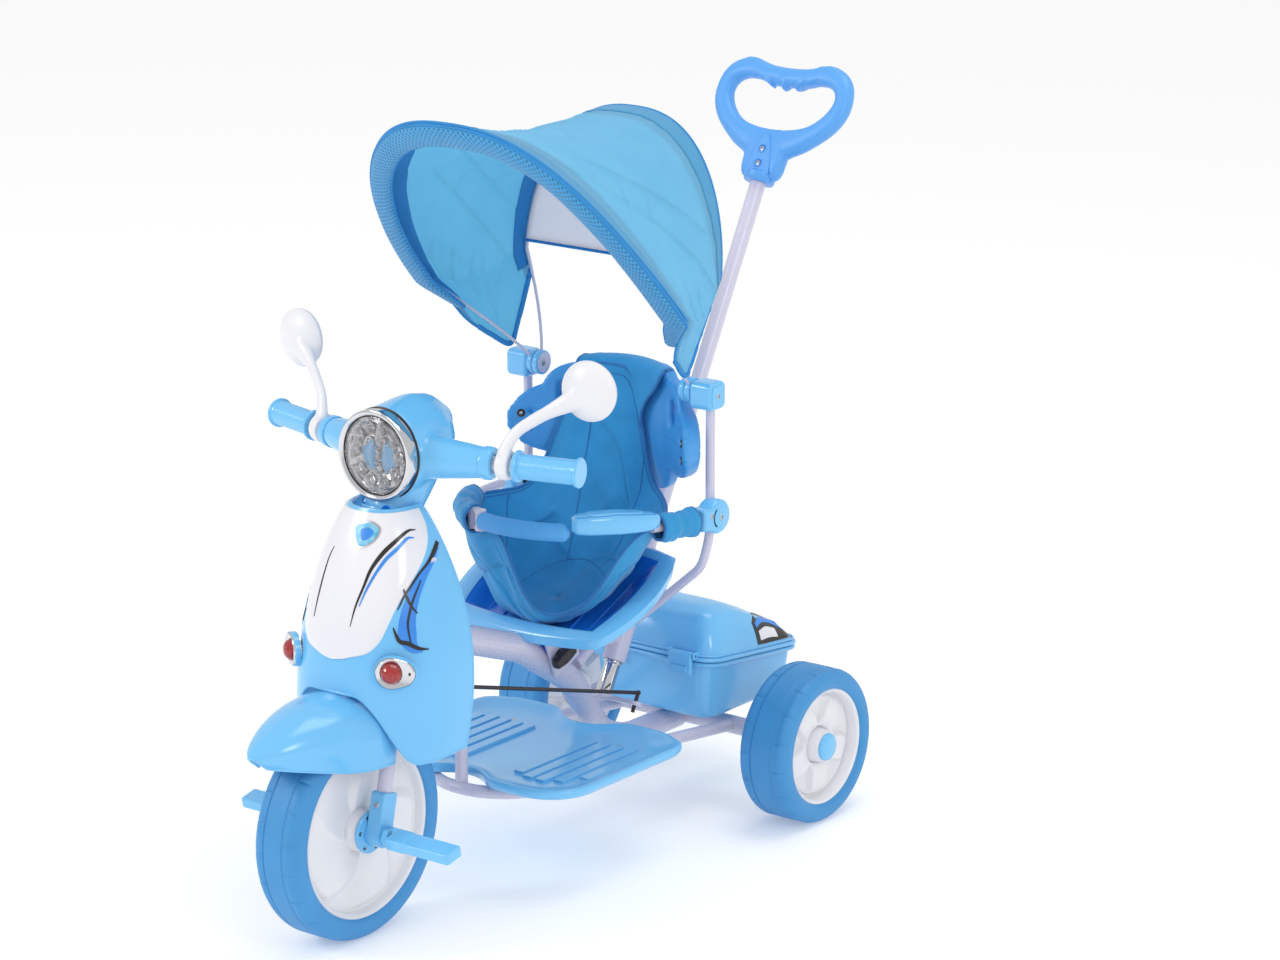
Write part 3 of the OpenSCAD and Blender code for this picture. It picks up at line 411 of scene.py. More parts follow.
def tube(name, path, radius, mat, body, up=(0, 0, 1), sides=24, flat=1.0, closed=False, round_ends=False,
         **looks):
    """A tube along a path; radius is a number or one for each point."""
    p = np.asarray(path, float)
    r = np.full(len(p), float(radius)) if np.isscalar(radius) else np.asarray(radius, float)
    if round_ends:
        for end in (0, -1):
            out = p[end] - p[1 if end == 0 else -2]
            out /= np.linalg.norm(out)
            turn = [math.radians(d) for d in (30, 60, 82)]
            extra = np.array([p[end] + out * r[end] * 0.7 * math.sin(a) for a in turn])
            sizes = np.array([r[end] * math.cos(a) for a in turn])
            if end == 0:
                p, r = np.concatenate([extra[::-1], p]), np.concatenate([sizes[::-1], r])
            else:
                p, r = np.concatenate([p, extra]), np.concatenate([r, sizes])
    sections = oval(1, flat, sides)[None] * r[:, None, None]
    rings = sweep(p, sections, up, closed)
    return surface(name, rings, mat, body, wrap_u=closed, wrap_v=True, caps=not closed, **looks)


def level(x, y, z):
    """Points that lie at one height."""
    return np.stack([x, y, np.full(len(x), z)], axis=1)


def lathe(name, profile, mat, body, at=PLACE, steps=64, loop=False, relief=None, **looks):
    """A (radius, height) profile turned round Z; relief(angle, radius, height) adds to the height."""
    prof = np.asarray(profile, float)
    turn = np.linspace(0, 2 * math.pi, steps, endpoint=False)
    r, h = prof[:, :1], prof[:, 1:]
    z = np.repeat(h, steps, 1)
    if relief:
        z = z + relief(turn[None], r, h)
    grid = np.stack([r * np.cos(turn), r * np.sin(turn), z], axis=2)
    return surface(name, grid, mat, body, wrap_u=loop, wrap_v=True, at=at, **looks)


def arc(cx, cz, r, a0, a1, steps=6):
    """Points of a circular arc in a (radius, height) profile."""
    turns = [math.radians(a) for a in np.linspace(a0, a1, steps)]
    return [(cx + r * math.cos(a), cz + r * math.sin(a)) for a in turns]


def rounded_rect(width, length, radius, steps=6):
    """Outline of a rounded rectangle centred on the origin."""
    out = []
    for k, (sx, sy) in enumerate(((1, 1), (-1, 1), (-1, -1), (1, -1))):
        cx, cy = sx * (width / 2 - radius), sy * (length / 2 - radius)
        out += arc(cx, cy, radius, 90 * k, 90 * k + 90, steps)
    return out


def prism(name, outline, height, mat, body, at=PLACE, bevel=1.0, **looks):
    """An outline pushed up along the frame's Z, with rounded edges."""
    o = np.asarray(outline, float)
    n = len(o)
    verts = [(*p, z) for z in (0.0, height) for p in o]
    faces = [tuple(reversed(range(n))), tuple(range(n, 2 * n))]
    faces += [(j, (j + 1) % n, n + (j + 1) % n, n + j) for j in range(n)]
    return add(name, verts, faces, mat, body, at=at, bevel=bevel, **looks)


def block(name, size, mat, body, at=PLACE, radius=3.0, **looks):
    """A rounded block centred on the frame."""
    outline = rounded_rect(size[0], size[1], radius)
    moved = at @ shift(0, 0, -size[2] / 2)
    return prism(name, outline, size[2], mat, body, at=moved, bevel=radius * 0.45, **looks)


def screw(name, body, at, radius=4.0):
    """A domed screw head with a cross recess, facing the frame's Z."""
    dome = [(0, -0.1), (radius * 0.5, 0.1), (radius * 0.55, radius * 0.28), (radius * 0.9, radius * 0.2),
            (radius, 0.0)]

    def recess(turn, r, h):
        return -np.where(r > radius * 0.52, 0.0, 0.35 * radius * abs(np.cos(2 * turn)) ** 8) * 0.3

    return lathe(name, dome, "steel", body, at=at, steps=24, slot=None, relief=recess)


def fuse(piece, voxel, soften, mat, swell=0.0):
    """Voxel remesh of a piece, softened and swollen by swell millimetres; gives back the finished mesh."""
    remesh = piece.modifiers.new("fuse", "REMESH")
    remesh.mode = "VOXEL"
    remesh.voxel_size = voxel * 0.001
    relax = piece.modifiers.new("relax", "SMOOTH")
    relax.factor = 0.5
    relax.iterations = soften
    if swell:
        grow = piece.modifiers.new("swell", "DISPLACE")
        grow.mid_level = 0
        grow.strength = swell * 0.001
    done = baked(piece)
    piece.modifiers.clear()
    piece.data = done
    done.name = piece.name
    done.polygons.foreach_set("use_smooth", [True] * len(done.polygons))
    done.materials.clear()
    done.materials.append(MATERIALS[mat])
    return done


def solid_of(parts, voxel, soften, name, mat, body, replaces):
    """One smooth moulding from several closed pieces."""
    bm = bmesh.new()
    for part in parts:
        bm.from_mesh(baked(part) if part.modifiers else part.data)
        bpy.data.objects.remove(part)
    mesh = bpy.data.meshes.new(name)
    bm.to_mesh(mesh)
    bm.free()
    piece = placed(name, mesh)
    fuse(piece, voxel, soften, mat)
    hand_over(piece, body, replaces)
    return piece


def grid_uv(points):
    """Cloth coordinates in metres for a grid, by the nearest grid point."""
    p = np.asarray(points, float)
    n, m = p.shape[:2]
    du = np.concatenate([[0], np.cumsum(np.linalg.norm(np.diff(p, axis=0), axis=2).mean(1))]) * 0.001
    dv = np.concatenate([[0], np.cumsum(np.linalg.norm(np.diff(p, axis=1), axis=2).mean(0))]) * 0.001
    tree = KDTree(n * m)
    flat = (p.reshape(-1, 3) + [0, REAR_Y, 0]) * 0.001
    for k, q in enumerate(flat):
        tree.insert(Vector(q), k)
    tree.balance()

    def uv(co):
        k = tree.find(co)[1]
        return (du[k // m], dv[k % m])

    return uv


def thicken(piece, thickness):
    """Gives a sheet its thickness in millimetres, half to each side."""
    thick = piece.modifiers.new("thick", "SOLIDIFY")
    thick.thickness = thickness * 0.001
    thick.offset = 0


def cloth_piece(name, grid, mat, body, thickness, wrap_v=False):
    """A sheet of cloth over a grid, riding on a body."""
    piece = surface(name, grid, mat, None, wrap_v=wrap_v, sharp=0, uv=grid_uv(grid))
    thicken(piece, thickness)
    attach(piece, body)
    return piece


def under(name):
    """Lookup tree of a finished piece, in the part's frame, for laying other pieces on it."""
    bpy.context.view_layer.update()
    return BVHTree.FromObject(bpy.data.objects[name], bpy.context.evaluated_depsgraph_get())


def cast(tree, start, way):
    """Place in mm and normal where a line from start first meets the tree, or None for both."""
    s = (Vector(start) + Vector((0, REAR_Y, 0))) * 0.001
    hit, normal = tree.ray_cast(s, Vector(way).normalized())[:2]
    if hit is None:
        return None, None
    return np.array(hit) * 1000 - [0, REAR_Y, 0], np.array(normal)


def facing(place, way):
    """Frame at a place in rear-axle millimetres, with its Z along way."""
    z = Vector(way).normalized()
    return PLACE @ Matrix.Translation(Vector(place)) @ z.to_track_quat("Z", "Y").to_matrix().to_4x4()


# ---------------------------------------------------------------- kept CAD nodes
KEPT = {
    "paint": "spine lower_loop rear_axle_tube pole_sleeve back_leg_left back_leg_right guard_arm_left "
    "guard_arm_right guard_gate front_bow rear_bow fork push_pole",
    "steel": "rear_axle hinge_pin handlebar",
    "black": "steering_rod",
}
for mat, names in KEPT.items():
    for name in names.split():
        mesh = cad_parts[name].data
        mesh.materials.clear()
        mesh.materials.append(MATERIALS[mat])

# ---------------------------------------------------------------- wheels
def tyre(name, at, r, half, rim_r, shoulder, bars, body, node):
    """Foam tyre with two lines round its tread and staggered shallow bars towards its shoulders."""
    line = 0.42 * half
    flat = half - shoulder
    tread = np.linspace(-flat, flat, 15)
    edges = [side * line + d for side in (-1, 1) for d in (-1.5, -0.6, 0.6, 1.5)]
    tread = np.unique(np.round(np.concatenate([tread, edges]), 3))
    profile = [(rim_r - 2, -half + 6), (rim_r, -half + 2.5), (rim_r + 2, -half + 0.8), (rim_r + 5, -half)]
    profile += arc(r - shoulder, -flat, shoulder, -90, -8, 9)
    profile += [(r - 0.8 * (h / flat) ** 4, h) for h in tread]
    profile += arc(r - shoulder, flat, shoulder, 8, 90, 9)
    profile += [(rim_r + 5, half), (rim_r + 2, half - 0.8), (rim_r, half - 2.5), (rim_r - 2, half - 6)]
    prof = np.array(profile)
    turns = []
    for k in range(2 * bars):
        mid = k * math.pi / bars
        turns += [mid + d / r for d in (-1.6, -0.6, 0.6, 1.6)]
        turns += [mid + math.pi / bars * f for f in (0.25, 0.42, 0.58, 0.75)]
    turns = np.sort(np.array(turns))
    steps = np.round(turns / (math.pi / bars)).astype(int)
    near = abs(turns - steps * math.pi / bars) * r < 1.0
    rad = np.repeat(prof[:, :1], len(turns), 1)
    h = np.repeat(prof[:, 1:], len(turns), 1)
    on_tread = rad > r - 0.75 * shoulder
    rad = rad - 0.9 * ((abs(abs(h) - line) < 0.8) & on_tread)
    side = np.where(steps % 2 == 0, 1, -1)
    bar = near[None] & on_tread & (h * side[None] > line * 1.15) & (abs(h) < 0.93 * half)
    rad = rad - 0.9 * bar
    grid = np.stack([rad * np.cos(turns), rad * np.sin(turns), h], axis=2)
    return surface(name, grid, "tyre", body, wrap_v=True, at=at, replaces=node, sharp=60)


def rim_profile(r, half, hub_r, hub_half, dish):
    """Radius and height from the bore over the face to the lip and back along the far side."""
    face = [(6.2, hub_half), (hub_r - 3, hub_half), (hub_r, hub_half - 2)]
    web = [(q, dish) for q in np.linspace(hub_r + 3, r - 11, 22)]
    lip = [(r - 8, dish + 1.5), (r - 6, half - 3), (r - 4.5, half - 1), (r - 2.5, half),
           (r - 0.5, half - 1.5)]
    return face + web + lip


def rim(name, at, r, half, hub_r, hub_half, dish, relief, body, node):
    """White rim moulded alike on both faces."""
    one = rim_profile(r, half, hub_r, hub_half, dish)
    other = [(q, -h) for q, h in reversed(one)]
    start = hub_r + 3
    end = r - 11

    def both(turn, q, h):
        share = np.clip((q - start) / (end - start), 0, 1)
        edge = np.sin(math.pi * share) ** 0.35
        on_web = (q >= start) & (q <= end)
        return on_web * np.sign(h) * relief(turn * np.sign(h), share) * edge

    return lathe(name, one + other, "white", body, at=at, steps=240, loop=True, relief=both, replaces=node,
                 sharp=50)


def spokes(turn, share):
    """Five broad raised spokes with pockets between them that widen towards the lip."""
    phase = np.mod(turn / (2 * math.pi) * 5, 1) - 0.5
    width = 0.10 + 0.24 * share
    reach = smooth((share - 0.18) / 0.12) * smooth((0.97 - share) / 0.1)
    pocket = smooth((width - abs(phase)) / 0.07) * reach
    return 9.0 * (1 - pocket)


def vanes(turn, share):
    """Five swirling vanes: a long ramp and a sharp drop each."""
    phase = np.mod(turn / (2 * math.pi) * 5 + 0.55 * share, 1)
    return 8.0 * np.where(phase < 0.86, (phase / 0.86) ** 1.3, (1 - phase) / 0.14)


front_at = frame_at(0, -WHEELBASE, FRONT_R, ("Y", 90))
tyre("tyre_front", front_at, FRONT_R, 34, FRONT_RIM, 16, 22, "front_wheel", "front_tyre")
rim("rim_front", front_at, FRONT_RIM, 31, FRONT_HUB, HUB_HALF, 18, vanes, "front_wheel", "front_rim")
for side, word in SIDES:
    body = "rear_wheel_" + word
    at = frame_at(side * HALF_TRACK, 0, REAR_R, ("Y", 90 * side))
    tyre("tyre_rear_" + word, at, REAR_R, 37, REAR_RIM, 14, 17, body, "rear_tyre_" + word)
    rim("rim_rear_" + word, at, REAR_RIM, 33, REAR_HUB, HUB_HALF, 15, spokes, body, "rear_rim_" + word)
    cap = [(0.01, 39.6), (6, 39.4), (12, 38.8), (15.5, 37.8), (17.4, 36.2), (18, 34.5), (18, 33), (8, 33),
           (8, 35)]
    lathe("cap_rear_" + word, cap, "sky", body, at=at, steps=48, replaces="hub_cap_" + word)

# Hub flanges, cranks and pedals
flange = [(6.4, 33.2), (26, 33.2), (26, 35.5), (24.5, 37), (17, 37.4), (15, 38.0), (11, 37.8), (6.4, 37.8)]
for side, word in SIDES:
    at = frame_at(0, -WHEELBASE, FRONT_R, ("Y", 90 * side))
    lathe("hub_flange_" + word, flange, "sky", "front_wheel", at=at, steps=48, loop=True)
    for k in range(6):
        spot = at @ spin("Z", 60 * k + 20) @ shift(20.6, 0, 37.1)
        # Each hole is a black disc: painted shade standing in for the dark inside of the hole.
        lathe(f"hub_hole_{word}_{k}", [(0.01, 0.1), (1.9, 0.15), (2.5, 0.3), (2.8, 0.0)], "black",
              "front_wheel", at=spot, steps=16)
    boss = [(0.01, 74), (7, 74), (11, 73.4), (13, 71.5), (13, 62), (11.5, 60), (6.2, 60), (6.2, 58.5),
            (0.01, 58.5)]
    lathe("crank_boss_" + word, boss, "sky", "front_wheel", at=at, steps=40,
          replaces="cranks" if side > 0 else ())
    lift = math.radians(CRANK_LIFT)
    throw = side * CRANK_THROW * np.array([0, -math.cos(lift), math.sin(lift)])
    centre = np.array([0, -WHEELBASE, FRONT_R])
    stations = [(67, 0.0), (70, 0.1), (76, 0.35), (84, 0.65), (91, 0.87), (96, 1.0), (101.5, 1.0)]
    path = np.array([centre + throw * f + [side * x, 0, 0] for x, f in stations])
    section = oval(4.6, 8.6, 28, 4.5)
    arm = sweep(path, section, np.array([0, math.sin(lift), math.cos(lift)]))
    surface("crank_arm_" + word, arm, "sky", "front_wheel", wrap_v=True, caps=True, sharp=30)
    screw("crank_screw_" + word, "front_wheel", at @ shift(0, 0, 74), 4.5)
    pin = centre + throw
    pedal_at = frame_at(side * PEDAL_X, pin[1], pin[2], ("X", PEDAL_LEAN))
    block("pedal_block_" + word, (94, 27, 13), "sky", "pedal_" + word, at=pedal_at, radius=3.5,
          replaces="pedal_" + word)
    inner = pedal_at @ shift(-side * 34, 0, 0)
    block("pedal_sleeve_" + word, (26, 28, 14), "sky", "pedal_" + word, at=inner, radius=2.5)
    for face in (1, -1):
        for k in (-1, 0, 1):
            rib = pedal_at @ shift(side * 14, k * 7.5, face * 6.4)
            block(f"pedal_rib_{word}_{face + 1}_{k + 1}", (58, 2.2, 1.4), "sky", "pedal_" + word, at=rib,
                  radius=1.0)

# Axle clamps at the foot of the fork
outline = [(-52, -10), (-52, 10), (-50, 12.4), (-8, 13)]
outline += [(15 * math.sin(math.radians(a)), 15 * math.cos(math.radians(a))) for a in range(0, 181, 15)]
outline += [(-8, -13), (-50, -12.4)]
for side, word in SIDES:
    at = STEER @ shift(side * 48 - 10, 0, 0) @ ALONG_X
    prism("axle_clamp_" + word, outline, 20, "sky", "steering", at=at, bevel=2.2,
          replaces="dropout_" + word)
    spot = STEER @ shift(side * 48, -12.6, 36) @ spin("X", 90)
    screw(f"clamp_screw_{word}_36", "steering", spot, 4)
    nut = STEER @ shift(side * 58, 0, 0) @ spin("Y", 90 * side)
    lathe("clamp_ring_" + word, [(6.5, 0), (13.2, 0), (13.0, 1.2), (11.5, 1.9), (7.2, 1.9), (6.5, 1.2)],
          "sky", "steering", at=nut, steps=40, loop=True)

# ---------------------------------------------------------------- mudguard and shield
def guard_point(a, t, inset):
    ca, sa = np.cos(np.radians(a)), np.sin(np.radians(a))
    from_tail = (GUARD_TAIL - a) / (GUARD_TAIL - GUARD_NOSE)
    crown = 169 + 45 * from_tail**1.4 - inset
    low = np.minimum((91 + 23 * from_tail**4) / sa, crown - 15)
    r = low + (crown - low) * np.maximum(np.cos(np.radians(t)), 0) ** 0.55
    wide = np.maximum(67 * np.sqrt(1 - 0.985 * from_tail**2.5) - inset, 0.5)
    return np.stack([wide * np.sin(np.radians(t)), -WHEELBASE - r * ca, FRONT_R + r * sa], axis=-1)


a, t = np.meshgrid(GUARD_NOSE + (GUARD_TAIL - GUARD_NOSE) * np.linspace(0, 1, 45) ** 1.5,
                   90 * np.sin(np.linspace(-90, 90, 61) * math.pi / 180), indexing="ij")
outer = guard_point(a, t, 0.0)
inner = guard_point(a, t, 3.0)
shell("mudguard_skin", outer, inner, "sky", "steering", replaces="mudguard", sharp=35)
for side in (0, -1):
    tube(f"mudguard_lip_{side + 1}", ((outer + inner) / 2)[:, side], 2.1, "sky", "steering", up=(1, 0, 0),
         sides=10, round_ends=True)
tube("mudguard_lip_nose", ((outer + inner) / 2)[0], 2.1, "sky", "steering", up=(0, 0, 1), sides=10)


def shield_edge(t):
    """Level of the shield's lower edge at section angle t."""
    q = np.clip((abs(t) - 12) / 48, 0, 1)
    return 310 - 84 * q * q * (3 - 2 * q) + 5 * np.maximum(0, (abs(t) - 68) / 22)


def shield_point(t, z, inset):
    s, c = np.sin(np.radians(t)), np.cos(np.radians(t))
    h = (z - SHIELD_LOW) / SHIELD_TALL
    half = 42 + 66 * np.sin(np.radians(180 * (1 - h) ** 0.8 * 0.62)) - inset
    front = -628 - 62 * np.sin(np.radians(90 * np.minimum(1, (1 - h) * 1.35))) ** 0.9 + inset
    back = -572 + 18 * np.sin(np.radians(180 * (1 - h)))
    x = half * np.sign(s) * abs(s) ** 0.8
    return np.stack([x, back - (back - front) * abs(c) ** 0.8, z + 0 * s], axis=-1)


t, v = np.meshgrid(np.linspace(-90, 90, 91), np.linspace(0, 1, 45), indexing="ij")
z = mix(shield_edge(t), SHIELD_TOP, v)
shell("shield_skin", shield_point(t, z, 0.0), shield_point(t, z, SHIELD_WALL), "sky", "steering",
      replaces="shield", sharp=35)
for side in (0, -1):
    tube(f"shield_lip_{side + 1}", shield_point(t, z, 1.5)[side], 2.4, "sky", "steering", up=(0, 1, 0),
         sides=10, round_ends=True)
tube("shield_lip_low", shield_point(t, z, 1.5)[:, 0], 2.2, "sky", "steering", up=(0, 0, 1), sides=10)

PANEL_Z = (350, 352, 356, 360, 365, 377, 394, 410, 425, 446, 465, 480, 497, 520)
PANEL_T = (0.5, 6, 12, 20, 25, 31, 36, 41, 47, 59, 71, 79, 84, 86)


def panel_reach(z):
    fine = np.linspace(PANEL_LOW, SHIELD_TOP, 200)
    wide = np.interp(fine, PANEL_Z, PANEL_T)
    kernel = np.exp(-(np.linspace(-2, 2, 25) ** 2))
    soft = np.convolve(np.pad(wide, 12, "edge"), kernel / kernel.sum(), "valid")
    keep = smooth((fine - 356) / 16)
    return np.interp(z, fine, wide * (1 - keep) + soft * keep)


u, z = np.meshgrid(np.linspace(-1, 1, 49), PANEL_LOW + 167 * np.linspace(0, 1, 64) ** 1.35, indexing="ij")
rise = PANEL_RISE * (1 - abs(u) ** 10)
top = shield_point(u * panel_reach(z), z, -rise)
low = shield_point(u * panel_reach(z), z, 0.6)
shell("shield_face", top, low, "panel", "steering", replaces="shield_panel", sharp=50)


def decal(name, mat, lift, side, path):
    """A strip on the shield: path holds (angle, level, width); lift is its base above the skin."""
    q = curve(path, 6)
    a, z, w = q[:, 0] * side, q[:, 1], q[:, 2]
    d = np.gradient(shield_point(a, z, -lift), axis=0)
    d /= np.linalg.norm(d, axis=1, keepdims=True)
    da = shield_point(a + 0.5, z, -lift) - shield_point(a - 0.5, z, -lift)
    dz = shield_point(a, z + 0.5, -lift) - shield_point(a, z - 0.5, -lift)
    # Step in (angle, level) that moves one millimetre across the strip
    across = np.cross(d, np.cross(da, dz))
    across /= np.linalg.norm(across, axis=1, keepdims=True)
    basis = np.stack([da, dz], axis=2)
    step = np.array([np.linalg.lstsq(m, c, rcond=None)[0] for m, c in zip(basis, across)])
    rows = [(a + step[:, 0] * w * k, z + step[:, 1] * w * k) for k in np.linspace(-0.5, 0.5, 5)]
    tops = np.array([shield_point(p, r, -lift - DECAL_THICK) for p, r in rows])
    lows = np.array([shield_point(p, r, -lift + 0.4) for p, r in rows])
    return shell(name, tops, lows, mat, "steering")


decal("panel_pinstripe", "stripe_black", PANEL_RISE, 1, [
    (-15.5, 474, 0.5), (-17.5, 462, 1.4), (-17.5, 442, 2.0), (-17, 420, 2.0), (-16.5, 392, 0.8)])
decal("panel_stripe", "stripe_black", PANEL_RISE, 1, [
    (70, 497, 0.8), (61, 497, 3), (47.5, 489, 4.4), (32.5, 476, 5), (21.5, 458, 4.2), (16, 437, 3.0),
    (11.5, 415, 2.2), (9, 391, 0.6)])
decal("panel_stripe_blue", "stripe_blue", PANEL_RISE, 1, [
    (66, 489, 1.0), (58, 489, 3.2), (46, 479, 4.2), (35, 469, 4.2), (25.5, 453, 3.4), (18.5, 434, 2.6),
    (14, 415, 1.0)])
SWOOSHES = {
    "top": [(87, 478, 5), (81, 469, 5), (73, 459, 3), (62, 447, 2.4), (50, 428, 2.4), (43.5, 412, 1)],
    "middle": [(64, 442, 1.2), (57, 425, 2.4), (53, 411, 2.8), (50.5, 394, 2.4), (52, 373, 1.6)],
    "cross": [(47.5, 439, 1), (50.5, 428, 3), (53.5, 416, 3), (58, 406, 1.2)],
    "low": [(40, 392, 1.5), (44, 377, 4.5), (50, 373, 5), (57, 366, 4), (64, 363, 1)],
}
for side, word in SIDES:
    decal("swoosh_fill_" + word, "stripe_blue", 0.1, side, [
        (86, 472, 1), (77, 459, 5), (66, 445, 11), (56.5, 425, 15), (51, 403, 19), (50, 382, 22),
        (53.5, 368, 14), (60, 362, 3)])
    for part, path in SWOOSHES.items():
        decal(f"swoosh_{part}_{word}", "stripe_black", 0.6, side, path)

# Generic kite badge on the panel
badge = [(-2, 502), (6, 507), (17, 509), (29, 503), (27.5, 494), (20, 485), (8, 478), (2, 484)]


def badge_plate(name, scale, lift, mat):
    mid = np.mean(badge, axis=0)
    ring = curve([mid + (np.array(p) - mid) * scale for p in badge], 5, closed=True)
    rows = [mid + (ring - mid) * f for f in (0.02, 0.35, 0.7, 1.0)]
    grid = np.array([shield_point(r[:, 0], r[:, 1], -lift) for r in rows])
    base = np.array([shield_point(r[:, 0], r[:, 1], -PANEL_RISE) for r in rows])
    return shell(name, grid, base, mat, "steering", wrap_v=True, slot="sky_plastic", sharp=50)


badge_plate("badge_edge", 1.0, 2.9, "steel")
badge_plate("badge_field", 0.84, 3.3, "badge")
badge_plate("badge_core", 0.45, 3.7, "stripe_blue")

# Indicator lamps in teardrop bezels
for side, word in SIDES:
    at = frame_at(side * 76, -668, 342, ("Z", side * 34), ("X", 90))
    turn = np.linspace(0, 2 * math.pi, 48, endpoint=False)
    drop = 19.5 + 9.5 * np.maximum(np.cos(turn), 0) ** 3

    def ring_at(size, z):
        return level(side * drop * size * np.cos(turn), drop * size * np.sin(turn), z)

    tear = [ring_at(1.0, -5), ring_at(1.0, 1.5), ring_at(0.97, 3.6), ring_at(0.91, 4.8), ring_at(0.84, 4.4)]
    hole = [level(13.3 * np.cos(turn) * side, 13.3 * np.sin(turn), z) for z in (3.4, -4.0)]
    surface("lamp_bezel_" + word, np.array(tear + hole), "chrome", "steering", wrap_v=True, wrap_u=True,
            at=at, replaces="lamp_bezels" if side > 0 else (), sharp=40)
    rim_in = np.array([ring_at(1.06, -4), ring_at(1.06, 2.2), ring_at(1.0, 2.8), ring_at(1.0, -4)])
    surface("lamp_seat_" + word, rim_in, "sky", "steering", wrap_v=True, wrap_u=True, at=at)
    heights = [(12.9, -3), (12.9, 3.5), (12.2, 6.4), (10.4, 9.2), (7.8, 11.4), (4.4, 12.8), (0.01, 13.3)]
    lathe("lamp_lens_" + word, heights, "red", "steering", at=at, steps=20, sharp=8,
          replaces="lamp_lenses" if side > 0 else ())
    spot = at @ shift(side * 22.5, 0, 2.5)
    block("lamp_screw_" + word, (4.4, 4.4, 3.6), "black", "steering", at=spot, radius=1.2)

# ---------------------------------------------------------------- head, headlight, grips and mirrors
def ball(centre, r, squash=(1, 1, 1)):
    """Points on a sphere, for a hull."""
    rows = []
    for lat in np.linspace(-80, 80, 9):
        for lon in range(0, 360, 20):
            a, b = math.radians(lat), math.radians(lon)
            rows.append([math.cos(a) * math.cos(b), math.cos(a) * math.sin(b), math.sin(a)])
    rows += [[0, 0, 1], [0, 0, -1]]
    return np.array(rows) * r * np.array(squash) + centre


def disc_points(centre, r, way):
    """Points on a circle that faces way, for a hull."""
    z = np.array(way, float) / np.linalg.norm(way)
    x = np.cross(z, [1, 0, 0])
    x /= np.linalg.norm(x)
    y = np.cross(z, x)
    turns = np.radians(np.arange(0, 360, 9))
    return np.array([centre + r * (math.cos(a) * x + math.sin(a) * y) for a in turns])


def hull(*clouds):
    """A closed piece round several point clouds, in rear-axle millimetres."""
    bm = bmesh.new()
    for p in np.concatenate(clouds):
        bm.verts.new((np.array(p) + [0, REAR_Y, 0]) * 0.001)
    bmesh.ops.convex_hull(bm, input=bm.verts)
    bmesh.ops.delete(bm, geom=[v for v in bm.verts if not v.link_faces], context="VERTS")
    mesh = bpy.data.meshes.new("hull")
    bm.to_mesh(mesh)
    bm.free()
    return placed("hull", mesh)


LAMP = np.array([0.0, -603.0, 578.0])
NECK_WAY = (0, math.sin(math.radians(RAKE)), math.cos(math.radians(RAKE)))


def bar_cone(side):
    path = on_bar(side, (0, 20, 60, 95, 118, 128))
    return tube("cone", path, [31, 29.5, 25.5, 21.5, 18.6, 17.4], "sky", None, sides=32)


lamp_face = LAMP + [0, 14, 0]
parts = [
    hull(disc_points(lamp_face + [0, 1, 0], 54.5, (0, 1, 0)),
         disc_points(lamp_face + [0, 22, 0], 55, (0, 1, 0)),
         ball((0, -535, 588), 51), ball((0, -512, 584), 32)),
    hull(ball((0, -536, 570), 41), ball((0, -545, 543), 35), disc_points((0, -574, 506), 34, NECK_WAY)),
    hull(ball((0, -520, 607), 30, (1.1, 1, 1)), ball((0, -499, 603), 21, (1.35, 1, 1))), bar_cone(1),
    bar_cone(-1),
]
solid_of(parts, 2.6, 14, "head_moulding", "sky", "steering", replaces="head_shell")
neck = facing((0, -577.4, 503.2), NECK_WAY)
lathe("neck_collar", [(33, 0), (36.4, 0), (37, 1.5), (37, 5.5), (36.4, 7), (33, 7)], "sky", "steering",
      at=neck, steps=64, loop=True)
spot = facing((24, -613, 519), (0.6, -0.8, 0.05))
# The recess is a shallow disc in the darker deep blue: painted shade for the hollow.
lathe("neck_recess", [(0.01, 0.4), (3.0, 0.3), (4.6, 1.2), (5.2, 0.2)], "deep", "steering", at=spot,
      steps=24)
for side, word in SIDES:
    end = bar_frame(side) @ ALONG_X
    collar = [(11.2, 119), (19.4, 119), (19.9, 121), (19.6, 129), (18.4, 131.5), (16.6, 132), (11.2, 132)]
    lathe(f"head_sleeve_{word}", collar, "sky", "steering", at=end, steps=48, loop=True)

lamp_at = facing(lamp_face, (0, -1, 0))
ring = [(47.0, 2), (47.0, 13.4), (48.2, 15.6), (50.0, 17.2), (52.2, 17.8), (54.2, 16.9), (55.0, 15.0),
        (55.0, 1.0), (54.4, 0), (50, 0)]
lathe("headlight_bezel", ring, "chrome", "steering", at=lamp_at, steps=96, loop=True,
      replaces="headlight_ring")
lathe("headlight_gasket", [(54.6, -1.8), (55.6, -1.4), (55.6, 0.0), (54.6, 0.4)], "black", "steering",
      at=lamp_at, steps=96, loop=True)
lathe("headlight_gasket_front", [(46.6, 13.6), (47.4, 13.4), (48.0, 15.4), (47.2, 15.8)], "black",
      "steering", at=lamp_at, steps=96, loop=True)
screw("headlight_screw", "steering", facing(LAMP + [54.8, 5.5, 0], (1, 0, 0)), 2.6)


def crystal(turn, r, h):
    """Cut facets of the reflector: sharp heights that change from cell to cell."""
    k = np.round(turn / (2 * math.pi) * 44)
    ring_no = np.round(r / 3.3)
    wave = np.sin(k * 12.9898 + ring_no * 78.233) * 43758.5453
    return ((wave - np.floor(wave)) - 0.5) * 3.4 * (r > 2) * (r < 45)


